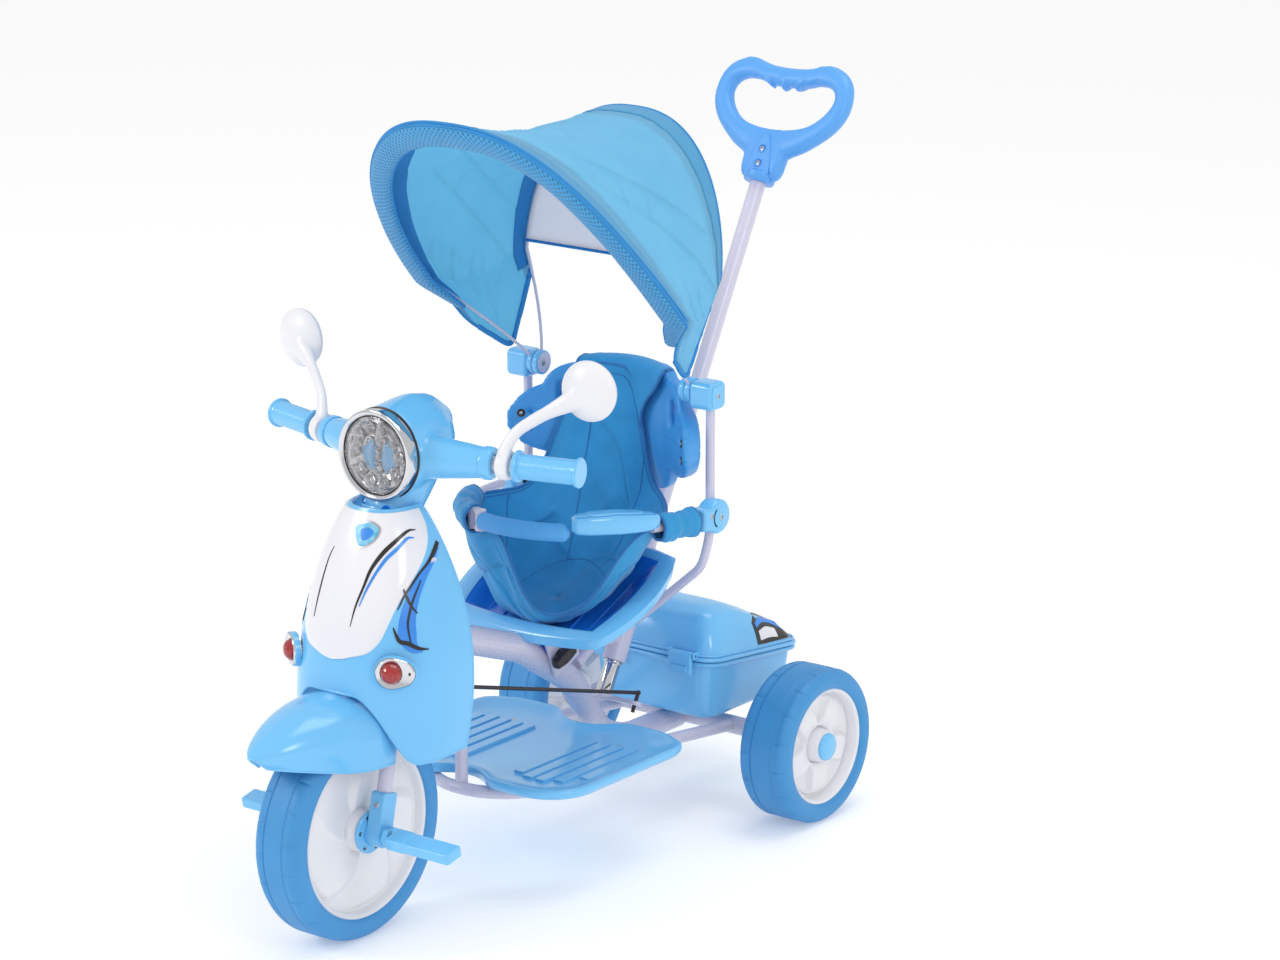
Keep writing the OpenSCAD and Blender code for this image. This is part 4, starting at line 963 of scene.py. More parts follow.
dish = [(0.01, 2.6)] + [(q, 2.2 + 9.5 * (q / 46.5) ** 2) for q in np.arange(3.3, 46.6, 3.3)]
dish += [(46.9, 12.4), (46.9, -0.5), (0.01, -0.5)]
lathe("headlight_dish", dish, "reflector", "steering", at=lamp_at, steps=44, relief=crystal, sharp=4,
      replaces="headlight_reflector")
cups = [(0, 0)] + [(17.5, a) for a in range(20, 380, 60)] + [(33.5, a) for a in range(0, 360, 36)]
for k, (r, a) in enumerate(cups):
    x, y = r * math.cos(math.radians(a)), r * math.sin(math.radians(a))
    base = 2.2 + 9.5 * (r / 46.5) ** 2
    spot = lamp_at @ shift(x, y, base - 1.6)
    bowl = [(3.0, 0.2), (4.6, 2.4), (7.0, 5.2), (7.8, 5.4), (8.0, 4.4), (6.0, 0.2), (4.2, 0.2)]
    lathe(f"led_cup_{k}", bowl, "reflector", "steering", at=spot, steps=10, loop=True, sharp=8)
    bulb = [(0.01, 5.2), (1.3, 4.8), (2.2, 3.6), (2.5, 1.6), (2.5, 0)]
    lathe(f"led_bulb_{k}", bulb, "lens", "steering", at=spot, steps=14)
pane = [(46.6, 12.8), (46.9, 14.4), (43, 16.2), (36, 17.4), (24, 18.3), (10, 18.8), (0.01, 18.9)]
inside = [(0.01, 17.6), (10, 17.5), (24, 17.0), (36, 16.0), (43, 14.6), (45.5, 12.8)]
lathe("headlight_pane", pane + inside, "lens", "steering", at=lamp_at, steps=96, replaces="headlight_lens")

# Grips
for side, word in SIDES:
    end = bar_frame(side) @ ALONG_X
    grip = [(11.2, 160), (18.2, 160), (19, 161), (19, 164), (18.2, 165), (15.6, 165.6)]
    for s in np.arange(168, 234, 3.0):
        grip += [(14.9, s), (15.15, s + 0.8), (15.15, s + 2.0)]
    grip += [(15.2, 235), (16, 237), (17.6, 238), (18, 239.2), (18, 241), (17, 242), (0.01, 242.0),
             (0.01, 238.2)]
    lathe("grip_" + word, grip, "sky", "steering", at=end, steps=48, replaces="grips" if side > 0 else (),
          sharp=30)

# Mirrors: a spoon on a stalk, fused with its clamp
HEAD = (223.0, -489.5, 665.0)
for side, word in SIDES:
    body = "mirror_" + word
    clamp_path = on_bar(side, (138, 139.5, 143, 149, 152.5, 154))
    clamp = tube("clamp", clamp_path, [16.4, 17.8, 18, 18, 17.8, 16.4], "white", None, sides=40)
    way = [(141, -541, 578), (142, -536, 594), (151, -526, 614), (170, -514, 630), (188, -503, 642),
           (203, -496, 651), (216, -491, 660)]
    path = sided(curve(way, 5), side)
    sizes = np.interp(np.linspace(0, 1, len(path)), [0, 0.15, 0.35, 0.6, 0.8, 1],
                      [10, 9, 7.4, 8.2, 11.5, 16])
    stalk = tube("stalk", path, sizes, "white", None, up=(0, 1, 0), sides=24, flat=0.62)
    back = (side * HEAD[0], HEAD[1] + 8, HEAD[2])
    face = facing(back, (0.12 * side, -1, 0.0))
    dome = [(0.01, 15.6), (8, 15.2), (16, 13.8), (24, 11), (30, 7.6), (34.5, 3.6), (36.8, 0), (36.8, -3),
            (34, -4), (0.01, -4)]
    head = lathe("dome", dome, "white", None, at=face, steps=56)
    solid_of([clamp, stalk, head], 1.7, 9, "mirror_moulding_" + word, "white", body,
             replaces="mirror_" + word)
    rear = face @ spin("X", 180)
    glass = [(0.01, 4.6), (20, 4.7), (31.5, 5.0), (32.2, 4.6), (32.2, 3.4), (0.01, 3.4)]
    lathe("mirror_glass_" + word, glass, "mirror_glass", body, at=rear, steps=64)
    lathe("mirror_frame_" + word, [(31.9, 3.2), (31.9, 5.6), (33.0, 6.2), (35.2, 5.4), (36, 3.2)], "white",
          body, at=rear, steps=64, loop=True)

# ---------------------------------------------------------------- push pole, handle and rod
OUTER = [(20, 692), (30, 703), (31, 722), (59, 739), (89, 765), (103, 789), (105, 812), (99, 834),
         (84, 849), (60, 855), (24, 847)]
INNER = [(0, 761), (44, 767), (68, 782), (81, 802), (80, 816), (68, 826), (46, 827), (20, 821)]


def both_sides(points):
    return list(points) + [(-x, z) for x, z in reversed(points) if x > 0]


def soft_loop(values, reach):
    """Values round a closed loop, each averaged with reach neighbours on both sides."""
    kernel = np.exp(-(np.linspace(-2, 2, 2 * reach + 1) ** 2))
    return np.convolve(np.concatenate([values[-reach:], values, values[:reach]]), kernel / kernel.sum(),
                       "valid")


def radii(points, centre, angles, soften):
    """Distance from the centre to a closed smooth outline, at each angle."""
    loop = curve(both_sides(points), 8, closed=True) - centre
    ang = np.unwrap(np.arctan2(loop[:, 1], loop[:, 0]))
    order = np.argsort(np.mod(ang, 2 * math.pi))
    a = np.mod(ang, 2 * math.pi)[order]
    r = np.linalg.norm(loop, axis=1)[order]
    a = np.concatenate([a - 2 * math.pi, a, a + 2 * math.pi])
    r = np.concatenate([r, r, r])
    fine = np.interp(angles, a, r)
    return soft_loop(fine, soften)


turns = np.linspace(0, 2 * math.pi, 240, endpoint=False)
middle = np.array([0.0, 793.0])
r_out = radii(OUTER, middle, turns, 3)
r_in = radii(INNER, middle, turns, 4)
x_in = r_in * np.cos(turns)
upper = smooth((np.sin(turns) - 0.15) / 0.3)
fingers = np.maximum(0, np.cos((x_in + 2) / 23 * 2 * math.pi)) ** 1.2 * smooth((42 - abs(x_in + 2)) / 10)
r_in = r_in - 5.2 * fingers * upper
rings = []
for k, a in enumerate(turns):
    half = (r_out[k] - r_in[k]) / 2
    mid = (r_out[k] + r_in[k]) / 2
    power = 2.3 if half < 22 else 3.2
    sec = oval(half, 11.8, 36, power)
    reach = mid + sec[:, 0]
    rings.append(np.stack([reach * math.cos(a), sec[:, 1], middle[1] + reach * math.sin(a)], axis=1))
surface("handle_moulding", np.array(rings), "handle", "push_pole", wrap_u=True, wrap_v=True, at=POLE,
        replaces="push_handle", sharp=0)
pad = curve([(-17.5, 697), (0, 694), (17.5, 697), (18, 706), (13, 728), (5, 748), (0, 752), (-5, 748),
             (-13, 728), (-18, 706)], 4, closed=True)
for face in (1, -1):
    word = "rear" if face > 0 else "front"
    flat = POLE @ shift(0, face * 10.6, 0) @ spin("X", -90 * face)
    outline = [(x, -z * face) for x, z in pad]
    prism("handle_boss_" + word, outline, 2.6, "handle", "push_pole", at=flat, bevel=1.2)
    for z in (711, 731):
        spot = flat @ shift(0, -z * face, 2.5)
        # Each well is a darker blue disc round its screw: painted shade for the recess the screw sits in.
        lathe(f"handle_well_{word}_{z}", [(0.01, 0.15), (3.6, 0.15), (4.4, 1.0), (5.4, 0.9), (5.9, 0)],
              "stripe_blue", "push_pole", at=spot, steps=28)
        screw(f"handle_screw_{word}_{z}", "push_pole", spot @ shift(0, 0, 0.3), 3.4)
socket = [(10.6, 688), (19, 688), (20.5, 690), (20.8, 699), (12, 704), (10.6, 704)]
lathe("handle_socket", socket, "handle", "push_pole", at=POLE, steps=40, loop=True)
lathe("pole_shaft", [(10.5, -8), (10.75, -7), (10.75, 32.5), (11.6, 33), (12.6, 34), (12.6, 36.2),
                     (10.5, 36.6)],
      "chrome", "push_pole", at=POLE, steps=40, loop=True)
for k, s in enumerate((124, 410)):
    lathe(f"pole_ring_{k}", [(10.4, s), (11.2, s + 0.6), (11.2, s + 5), (10.4, s + 5.6)], "paint",
          "push_pole", at=POLE, steps=32, loop=True, slot="pole_paint")

# ---------------------------------------------------------------- seat
def seat_rim_z(y):
    return 302 + 0.43 * (y + 347)


def seat_point(u, v, drop=0.0, grow=1.0):
    """Point of the pan over the square -1..1: a flat rim round a sunk bowl."""
    y = -253.5 + 93.5 * grow * v * np.sqrt(1 - 0.55 * u * u / 2)
    x = 140 * grow * u * np.sqrt(1 - 0.55 * v * v / 2)
    edge = np.maximum(abs(u), abs(v))
    bowl = smooth((0.86 - edge) / 0.34)
    return np.stack([x, y, seat_rim_z(y) - BOWL_SINK * bowl - drop], axis=-1)


def square_rings(stops, steps):
    """Rings of the square -1..1 at each stop from the middle out, with rounded corners left to the map."""
    rows = []
    for s in stops:
        side = np.linspace(-1, 1, steps, endpoint=False)
        ring = [(s * c, -s) for c in side] + [(s, s * c) for c in side]
        ring += [(-s * c, s) for c in side] + [(-s, -s * c) for c in side]
        rows.append(ring)
    return np.array(rows)


q = square_rings(np.linspace(0.80, 1.0, 7), 18)
u, v = q[..., 0], q[..., 1]
rim_top = seat_point(u, v)
rim_top[..., 2] -= 3.0 * smooth((np.maximum(abs(u), abs(v)) - 0.93) / 0.07)
skirt = [seat_point(u[-1], v[-1], drop=d, grow=g) for d, g in ((6.5, 1.0), (14, 0.99), (15.5, 0.985),
                                                               (15.0, 0.972))]
under_side = [seat_point(u[k], v[k], drop=4.5) for k in (5, 3, 1, 0)]
rim_rows = np.concatenate([rim_top, np.array(skirt), np.array(under_side)])
surface("seat_rim", rim_rows, "sky", "frame", wrap_u=True, wrap_v=True, replaces="seat_pan", sharp=55)
q = square_rings(np.concatenate([[0.004], np.linspace(0.06, 0.82, 20)]), 18)
u, v = q[..., 0], q[..., 1]
shell("seat_bowl", seat_point(u, v, drop=0.8), seat_point(u, v, drop=4.6), "deep", "frame", wrap_v=True,
      sharp=55)
for k, x in enumerate((-78, -52, 52, 78)):
    y = np.linspace(-306, -206, 16)
    path = np.stack([np.full(16, x), y, seat_rim_z(y) - BOWL_SINK - 0.4], axis=1)
    tube(f"seat_rib_{k}", path, 1.7, "deep", "frame", up=(1, 0, 0), sides=10, round_ends=True)
block("seat_saddle", (44, 56, 38), "deep", "frame", at=frame_at(0, -278, 281), radius=5)
for side, word in SIDES:
    block(f"seat_clamp_{word}", (5, 52, 54), "paint", "frame",
          at=frame_at(side * 20.3, -279, 263, ("X", 22)), radius=2.2)
knob_at = frame_at(22.4, -286, 256, ("X", 20), ("Y", 90))
hub = [(0.01, 14), (5, 13.8), (8, 12), (9, 9), (9, 1), (8.4, 0), (3.1, 0), (3.1, 3)]
lathe("knob_hub", hub, "black", "seat_knob", at=knob_at, steps=32, replaces="seat_knob")
wing = curve([(9, 0), (7, 14), (5.5, 19), (0, 21), (-5.5, 19), (-7, 14), (-9, 0), (-7, -14), (-5.5, -19),
              (0, -21), (5.5, -19), (7, -14)], 4, closed=True)
prism("knob_wing", [(x, y) for x, y, *_ in wing], 10, "black", "seat_knob", at=knob_at @ shift(0, 0, 3),
      bevel=2.6)

# Backrest: the CAD shell rounded into a soft-edged moulding
back = placed("back_moulding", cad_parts["backrest"].data.copy())
done = fuse(back, 2.6, 14, "ear", swell=1.6)
co = np.array([v.co for v in done.vertices]) * 1000 - [0, REAR_Y, 0]
normals = np.array([v.normal for v in done.vertices])
ear = smooth((46 - np.hypot(abs(co[:, 0]) - 102, co[:, 2] - 512)) / 40)
seam = np.exp(-(((co[:, 2] - 512) / 1.5) ** 2)) * (abs(co[:, 0]) > 62)
co = co + normals * (3.2 * ear - 1.1 * seam)[:, None]
for vert, p in zip(done.vertices, (co + [0, REAR_Y, 0]) * 0.001):
    vert.co = p
hand_over(back, "frame", "backrest")
back_tree = under("back_moulding")
for side, word in SIDES:
    for z in (522, 500):
        place, normal = cast(back_tree, (side * 121, -300, z), (side * 0.05, 1, 0))
        if place is None:
            continue
        spot = facing(place, normal)
        # Each well is a black disc round its screw: painted shade for the recess the screw sits in.
        lathe(f"back_well_{word}_{z}", [(0.01, 0.3), (3.2, 0.35), (4.2, 0.9), (5.0, 0.9), (5.6, -0.6)],
              "black", "frame", at=spot, steps=28)
        lathe(f"back_screw_{word}_{z}", [(0.01, 1.2), (1.6, 1.1), (2.4, 0.5), (2.6, 0.0)], "steel", "frame",
              at=spot, steps=16)

# ---------------------------------------------------------------- guard ring
def guard_at(a):
    s = np.sin(np.radians(a))
    return np.stack([RING_HALF * np.cos(np.radians(a)), RING_Y - 230 * np.maximum(s, 0) ** 0.85,
                     RING_Z + 12 * s], axis=-1)


for side, word in SIDES:
    at = frame_at(side * 152, RING_Y, RING_Z, ("Y", 90 * side))
    barrel = [(0.01, 12), (15, 12), (19.5, 11.2), (21.6, 9), (22, 6), (22, -6), (21.6, -9), (19.5, -11.4),
              (15, -12), (0.01, -12)]
    lathe("guard_barrel_" + word, barrel, "sky", "frame", at=at, steps=56, replaces="guard_block_" + word)
    block("guard_arm_block_" + word, (24, 40, 28), "sky", "frame",
          at=frame_at(side * 152, RING_Y - 13, RING_Z), radius=6)
    lathe("guard_disc_" + word, [(0.01, 13.0), (11, 13.0), (12.5, 12.6), (13, 11.8), (13, 11)], "sky",
          "frame", at=at, steps=40)
    screw("guard_screw_side_" + word, "frame", at @ shift(0, 0, 12.9), 4.2)
    screw("guard_screw_front_" + word, "frame", frame_at(side * 163.7, -158, 431, ("Y", 90 * side)), 3.8)

ring = guard_at(np.linspace(60, 102, 40))
tube("gate_sleeve", ring, 11.2, "foam", "guard_gate", sides=32, round_ends=True, replaces="gate_foam")
n = 46
angles = np.linspace(22.5, 56.5, n)
along = np.linspace(0, 1, n)
half = np.interp(along, [0, 0.06, 0.15, 0.45, 0.8, 0.94, 1], [10, 12.5, 13.4, 14.4, 14.6, 13.4, 9.5])
tall = np.interp(along, [0, 0.06, 0.15, 0.45, 0.8, 0.94, 1], [8.5, 11, 12.2, 13.8, 13.0, 11.6, 7.5])
sections = np.array([oval(w, h, 40, 3.4) for w, h in zip(half, tall)])
lift = np.interp(along, [0, 0.5, 1], [10, 12, 11])
path = guard_at(angles)
path[:, 2] += lift
pad = surface("clasp_moulding", sweep(path, sections, (0, 0, 1)), "sky", "frame", wrap_v=True, caps=True,
              replaces="gate_clasp", sharp=50)
line = sweep(path, sections * [1.006, 1.0], (0, 0, 1))
for k, index in enumerate((5, 14)):
    tube(f"clasp_line_{k}", line[2:-2, index], 0.7, "ear", "frame", sides=8)
cap_top = path[8:38] + np.stack([np.zeros(30), np.zeros(30), tall[8:38] - 1.2], axis=1)
lid = np.array([oval(w * 0.72 * e, 2.6, 28, 4) for w, e in zip(half[8:38],
                                                               np.interp(np.arange(30), [0, 3, 26, 29],
                                                                         [0.55, 1, 1, 0.55]))])
surface("clasp_button", sweep(cap_top, lid, (0, 0, 1)), "sky", "frame", wrap_v=True, caps=True, sharp=50)
spot = facing(line[n - 6, 36], (0.55, -0.8, -0.15))
screw("clasp_screw", "frame", spot, 2.6)

# ---------------------------------------------------------------- seat cloth
RIM_ANGLE = (-180, -172, -160, -146, -130, -95, -58, -46, -36, -24, 10, 13, 24, 40, 58, 88, 96, 104, 110,
             118, 132, 147, 163, 171, 180)
RIM_HEIGHT = (386, 420, 426, 429, 430, 431, 428, 440, 520, 592, 592, 458, 446, 436, 430, 429, 424, 392,
              350, 336, 326, 322, 330, 350, 386)
RIM_REACH = (88, 89, 91, 102, 113, 136, 136, 140, 143, 143, 143, 143, 142, 140, 136, 133, 130, 116, 98, 87,
             79, 77, 79, 85, 88)


def soft_interp(a, xs, ys):
    """Linear interpolation round the circle, softened over 7 degrees."""
    grid = np.arange(-180, 180, 1.0)
    raw = np.interp(grid, xs, ys)
    d = np.arange(-21, 22)
    kernel = np.exp(-((d / 7.0) ** 2))
    soft = np.convolve(np.concatenate([raw[-21:], raw, raw[:21]]), kernel / kernel.sum(), "valid")
    return np.interp(np.mod(a + 180, 360) - 180, np.append(grid, 180), np.append(soft, soft[0]))


def cloth_point(a, v, inset=0.0):
    """Point of the cloth bucket: a = 0 at the back, v from the floor to the rim."""
    top = soft_interp(a, RIM_ANGLE, RIM_HEIGHT)
    r = mix(40, soft_interp(a, RIM_ANGLE, RIM_REACH), v**0.62) - inset
    s, c = np.sin(np.radians(a)), np.cos(np.radians(a))
    y = CLOTH_Y + r * c
    floor_z = seat_rim_z(y) - 13.5
    z = mix(floor_z, top, v**1.55)
    # Draped folds: diagonal pulls from the ring's loops and sag between them
    side = smooth((abs(a) - 40) / 25) * smooth((175 - abs(a)) / 30)
    fold = 2.6 * np.sin(np.radians(a * 5.2) + v * 7.5) * side * (v * (1 - v)) * 4
    fold += 1.6 * np.sin(np.radians(a * 11) - v * 11) * (v * (1 - v)) * 4 * smooth((abs(a) - 12) / 20)
    first = np.exp(-((np.sin(np.radians(a * 2.3) + v * 4.1 + 0.5 * np.sin(v * 9)) / 0.13) ** 2))
    second = np.exp(-((np.sin(np.radians(a * 3.1) - v * 7.3 + 0.4 * np.sin(v * 13)) / 0.13) ** 2))
    fold -= (4.6 * first + 3.4 * second * smooth(np.sin(np.radians(a * 1.7)) + 0.6)) * (v * (1 - v)) * 4
    back = smooth((30 - abs(a)) / 14)
    fold += back * 1.1 * np.sin(v * 23 + a * 0.12) * smooth(v * 3)
    r2 = r + fold
    return np.stack([r2 * s, CLOTH_Y + r2 * c, z], axis=-1)


a, v = np.meshgrid(np.arange(-180, 180, 1.5), np.linspace(0, 1, 90) ** 0.9, indexing="xy")
bucket = cloth_point(a, v)
floor_rows = []
for f in (0.002, 0.3, 0.6, 0.85):
    mid = np.array([0.0, CLOTH_Y])
    row = bucket[0].copy()
    row[:, :2] = mid + (row[:, :2] - mid) * f
    row[:, 2] = seat_rim_z(row[:, 1]) - 13.5 - 1.2 * (1 - f)
    floor_rows.append(row)
cloth = np.concatenate([np.array(floor_rows), bucket])
seat_sheet = cloth_piece("seat_bucket_cloth", cloth, "cloth", "frame", SEAT_CLOTH,
                         wrap_v=True)
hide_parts("seat_cloth")


def cloth_line(name, a, v, radius, lift=1.2, closed=False):
    """Piping or a raised seam laid along the bucket."""
    p = cloth_point(np.asarray(a, float), np.asarray(v, float), lift)
    up = (0, 0, 1) if closed else (math.sin(math.radians(a[0])), math.cos(math.radians(a[0])), 0.1)
    tube(name, p, radius, "binding", "frame", up=up, sides=10, closed=closed)


cloth_line("cloth_rim_piping", np.arange(-180, 180, 3.0), np.full(120, 1.0), 2.1, lift=0.0, closed=True)
cloth_line("cloth_rim_stitching", np.arange(-180, 180, 3.0), np.full(120, 0.965), 0.8, lift=1.0,
           closed=True)
levels = np.linspace(0.04, 0.985, 40)
for k, (low, high) in enumerate(((-26, -15), (26, 15))):
    cloth_line(f"cloth_seam_{k}", mix(low, high, levels), levels, 0.9)
for k, (start, end, v0, v1) in enumerate(((-98, -64, 0.1, 0.95), (98, 66, 0.1, 0.95),
                                          (-150, -120, 0.06, 0.9), (140, 112, 0.06, 0.9))):
    vv = np.linspace(v0, v1, 24)
    cloth_line(f"cloth_dart_{k}", mix(start, end, vv**0.7), vv, 0.8)
cloth_line("cloth_floor_seam", np.arange(-180, 180, 4.0), np.full(90, 0.09), 1.0, closed=True)

# Cap of the cloth over the top of the backrest, hanging behind it
rows = []
for lean, z, right in ((0, 520, 28), (0, 540, 31), (0, 560, 42), (1, 576, 56), (2.5, 589, 64),
                       (7, 597.5, 66), (16, 601, 66),
                       (26, 600.5, 66), (34, 595, 66), (38, 582, 66), (39.5, 560, 64), (40, 536, 62),
                       (41, 512, 62)):
    x = mix(-66, right, np.linspace(0, 1, 34))
    y = CLOTH_Y + np.sqrt(np.maximum(143**2 - x**2, 0)) - 3.4 + lean
    droop = 2.2 * np.sin(x / 66 * math.pi * 2.5) * smooth((lean - 34) / 6)
    rows.append(np.stack([x, y + droop, z + 0.8 * np.cos(x / 66 * math.pi) - 3.5 * (abs(x) / 66) ** 3],
                         axis=1))
cap = np.array(rows)
cap = np.stack([curve(cap[:, col], 4) for col in range(cap.shape[1])], axis=1)
hood = cloth_piece("seat_hood_cloth", cap, "cloth", "frame", SEAT_CLOTH)
for k, edge in enumerate((cap[:, 0], cap[:, -1])):
    tube(f"hood_piping_{k}", edge, 1.9, "binding", "frame", up=(0, 1, 0.2), sides=10,
                           round_ends=True)
tube("hood_hem", cap[-1], 1.9, "binding", "frame", up=(0, 0, 1), sides=10,
                       round_ends=True)

# Sleeves that loop over the guard ring
for k, (a0, a1) in enumerate(((7.5, 21.0), (110, 150))):
    aa = np.linspace(a0, a1, 26)
    path = guard_at(aa)
    t = np.linspace(0, 1, 26)
    size = (15.5 if k == 0 else 15.0) + 1.2 * np.sin(t * 9 + 1) + 0.7 * np.sin(t * 23)
    around = np.arange(36) / 36 * 2 * math.pi * 5
    sections = np.array([
        oval(s * 0.93, s * 1.06, 36) * (1 + 0.035 * np.sin(around + 7 * f))[:, None]
        for s, f in zip(size, t)
    ])
    sections[..., 1] -= 1.5
    loops = sweep(path, sections, (0, 0, 1))
    piece = cloth_piece(f"ring_sleeve_{k}", loops, "cloth", "frame", SEAT_CLOTH, wrap_v=True)
    for end, row in enumerate((loops[0], loops[-1])):
        tube(f"sleeve_cuff_{k}_{end}", row, 1.9, "binding", "frame",
                          up=tuple(path[-1] - path[0]), sides=10, closed=True)
    arm = "guard_arm_left" if k == 0 else "guard_arm_right"

# ---------------------------------------------------------------- canopy
PIVOT_Y, PIVOT_Z = -146.0, 585.0
FRONT_LEAN = math.radians(48)
# Each bow: foot and half-width, length along its plane, leg, lean in degrees and sag
FRONT_BOW = (124.8, 204, 540, 183, 48, 28)
REAR_BOW = (115.8, 149, 332, 140, -5, 6)


def bow_side(foot, half, length, leg, lean, sag, t):
    """One side of a bow, from its pivot at t = 0 to its crown at t = 1."""
    t = np.asarray(t, float)
    q = np.clip(t / 0.3, 0, 1)
    a = np.radians(90 * (1 - np.clip(t, 0.3, 1)) / 0.7)
    low = t < 0.3
    x = np.where(low, mix(foot, half, q**1.7), half * np.sin(a) ** 0.82)
    s = np.where(low, 8 + (leg - 8) * q, leg + (length - leg) * np.cos(a))
    lean = math.radians(lean)
    return np.stack([x, PIVOT_Y - s * math.sin(lean) + sag * (s / 300) ** 2, PIVOT_Z + s * math.cos(lean)],
                    axis=-1)


def bow(sizes, w):
    """Point of a bow at w = 0 (left pivot) to 1 (right pivot)."""
    w = np.asarray(w, float)
    p = bow_side(*sizes, 1 - abs(2 * w - 1))
    p[..., 0] = p[..., 0] * np.where(w <= 0.5, 1, -1)
    return p


CANOPY_MID = np.array([0.0, -230.0, 640.0])


def canopy_point(w, s, out):
    """Point of the cover: w along the bows, s from the front bow to the rear one, out in mm outside them."""
    side = 1 - abs(2 * w - 1)
    lobe = 0.24 * np.exp(-(((side - 0.13) / 0.075) ** 2)) * (1 - s)
    p = mix(bow(FRONT_BOW, w), bow(REAR_BOW, w), (s - lobe)[..., None])
    p = p + np.array([0, 0, -22.0]) * np.sin(math.pi * np.clip(s, 0, 1))[..., None]
    way = p - CANOPY_MID
    way /= np.linalg.norm(way, axis=-1, keepdims=True)
    return p + way * np.asarray(out)[..., None]


def tip(s):
    """Lowest w of the cover at s: it hangs lowest beside the front wire."""
    s = np.clip(s, 0, 1)
    return 0.044 + 0.022 * (1 - s) ** 4 + 0.076 * s**2.6


def ridge(x):
    """Narrow ridges, one in every half turn of x."""
    return np.exp(-((np.sin(x) / 0.17) ** 2))


def slack(w, s):
    """Folds of the stretched cloth: sharp diagonal pulls, a fan at each tip and fine wrinkles."""
    span = np.sin(math.pi * np.clip(s, 0, 1)) ** 0.7
    side = 1 - abs(2 * w - 1)
    lean = side * 16 + s * 9 + 0.8 * np.sin(s * 6 + side * 5)
    pull = 3.6 * ridge(lean) * smooth((np.sin(s * 5.5 + side * 9) + 0.4) / 0.9)
    near_tip = smooth((0.5 - side) / 0.3) * smooth((side - 0.1) / 0.15)
    fan = 3.4 * ridge((s - 0.2) / (side + 0.2) * 4.2) * near_tip
    cross = 2.4 * ridge(side * 21 - s * 12 + np.sin(s * 8)) * smooth((np.sin(side * 19 + s * 4) + 0.2) / 0.7)
    seam = 1.2 * np.exp(-(((side - 0.3) / 0.006) ** 2))
    fine = 0.5 * np.sin(side * 61 + s * 17 + 2 * np.sin(s * 13)) + 0.4 * np.sin(side * 37 - s * 43)
    return (pull + fan + cross + seam + fine) * span


def cover_grid(s0, s1, out, cols, rows=161):
    """Grid over the cover between s0 and s1, from the left tip to the right one."""
    s = np.linspace(s0, s1, cols)[None] * np.ones((rows, 1))
    start = tip(s)
    w = start + (1 - 2 * start) * np.linspace(0, 1, rows)[:, None]
    return canopy_point(w, s, out + slack(w, s))


grid = cover_grid(0.0, 1.0, 5.0, 81, rows=321)
cover = surface("canopy_cover", grid, "canopy", None, sharp=0, uv=grid_uv(grid))
thicken(cover, 0.7)
bpy.context.view_layer.update()
final = baked(cover)
cover.modifiers.clear()
cover.data = final
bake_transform(cover)
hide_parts("canopy_cloth")

# Doubled bands of cover along both bows, and strips just inside the cover by them
for word, s0, s1 in (("front", -0.012, 0.075), ("rear", 0.925, 1.012)):
    body = word + "_bow"
    band = cloth_piece("canopy_band_" + word, cover_grid(s0, s1, 6.0, 6), "canopy_double", body,
                       1.0)
for k, (s0, s1, body, w0, w1) in enumerate(((0.05, 0.17, "front_bow", 0.12, 0.5),
                                            (0.88, 0.985, "rear_bow", 0.13, 0.5),
                                            (0.05, 0.17, "front_bow", 0.5, 0.88),
                                            (0.88, 0.985, "rear_bow", 0.5, 0.87))):
    ss = np.linspace(s0, s1, 7)[None] * np.ones((70, 1))
    ww = np.linspace(w0, w1, 70)[:, None] * np.ones((1, 7))
    inner_face = 3.2 + slack(ww, ss)
    piece = cloth_piece(f"canopy_strip_{k}", canopy_point(ww, ss, inner_face), "strip", body,
                        0.8)


def cover_line(name, s, w, out, radius, mat, body):
    p = canopy_point(w, s, out + slack(w, s))
    piece = tube(name, p, radius, mat, body, up=(0.31, 0.23, 1), sides=10, round_ends=True)


# Piping along both edges and round the tips
for k, s_at in enumerate((0.0, 1.0)):
    ww = np.linspace(0.067, 0.933, 150)
    cover_line(f"canopy_piping_{k}", np.full(150, s_at - 0.012 + 0.024 * k), ww, 6.0, 1.7, "strip",
               "rear_bow" if k else "front_bow")
for side, word in SIDES:
    ss = np.linspace(0.0, 0.5, 22)
    for k, (body, part) in enumerate((("front_bow", ss), ("rear_bow", 1 - ss))):
        ww = tip(part)
        ww = ww if side > 0 else 1 - ww
        cover_line(f"canopy_tip_{word}_{k}", part, ww, 5.0, 3.4, "strip", body)

# Padded hem in front of the front bow, with piping on its upper edge
hem_mid = np.array([0.0, PIVOT_Y, PIVOT_Z]) + 190 * np.array([0, -math.sin(FRONT_LEAN),
                                                              math.cos(FRONT_LEAN)])
hem_out = np.array([0, -math.cos(FRONT_LEAN), -math.sin(FRONT_LEAN)])
ww = np.linspace(0.105, 0.895, 170)
line = bow(FRONT_BOW, ww)
inward = hem_mid - line
inward /= np.linalg.norm(inward, axis=1, keepdims=True)
taper = smooth((ww - 0.09) / 0.07) * smooth((0.91 - ww) / 0.07)
profile = oval(15.5, 6.4, 34, 2.3)
hem_centre = line + inward * (8.5 * (0.45 + 0.55 * taper))[:, None] + hem_out * 7.4
hem = []
for centre, q, f in zip(hem_centre, inward, taper):
    wave = 0.4 * math.sin(centre[0] * 0.09)
    hem.append(centre + profile[:, :1] * (0.35 + 0.65 * f) * q
               + (wave + profile[:, 1:] * (0.5 + 0.5 * f)) * hem_out)
hem = np.array(hem)
padding = surface("canopy_hem", hem, "hem", "front_bow", wrap_v=True, caps=True, sharp=0, uv=grid_uv(hem))
for k, (edge, out, r) in enumerate(((-16.0, -1.5, 2.2), (15.6, 0.6, 1.5))):
    path = hem_centre + inward * (edge * (0.35 + 0.65 * taper))[:, None] + hem_out * out
    tube(f"canopy_hem_piping_{k}", path, r, "strip", "front_bow", up=tuple(hem_out), sides=10,
         round_ends=True)

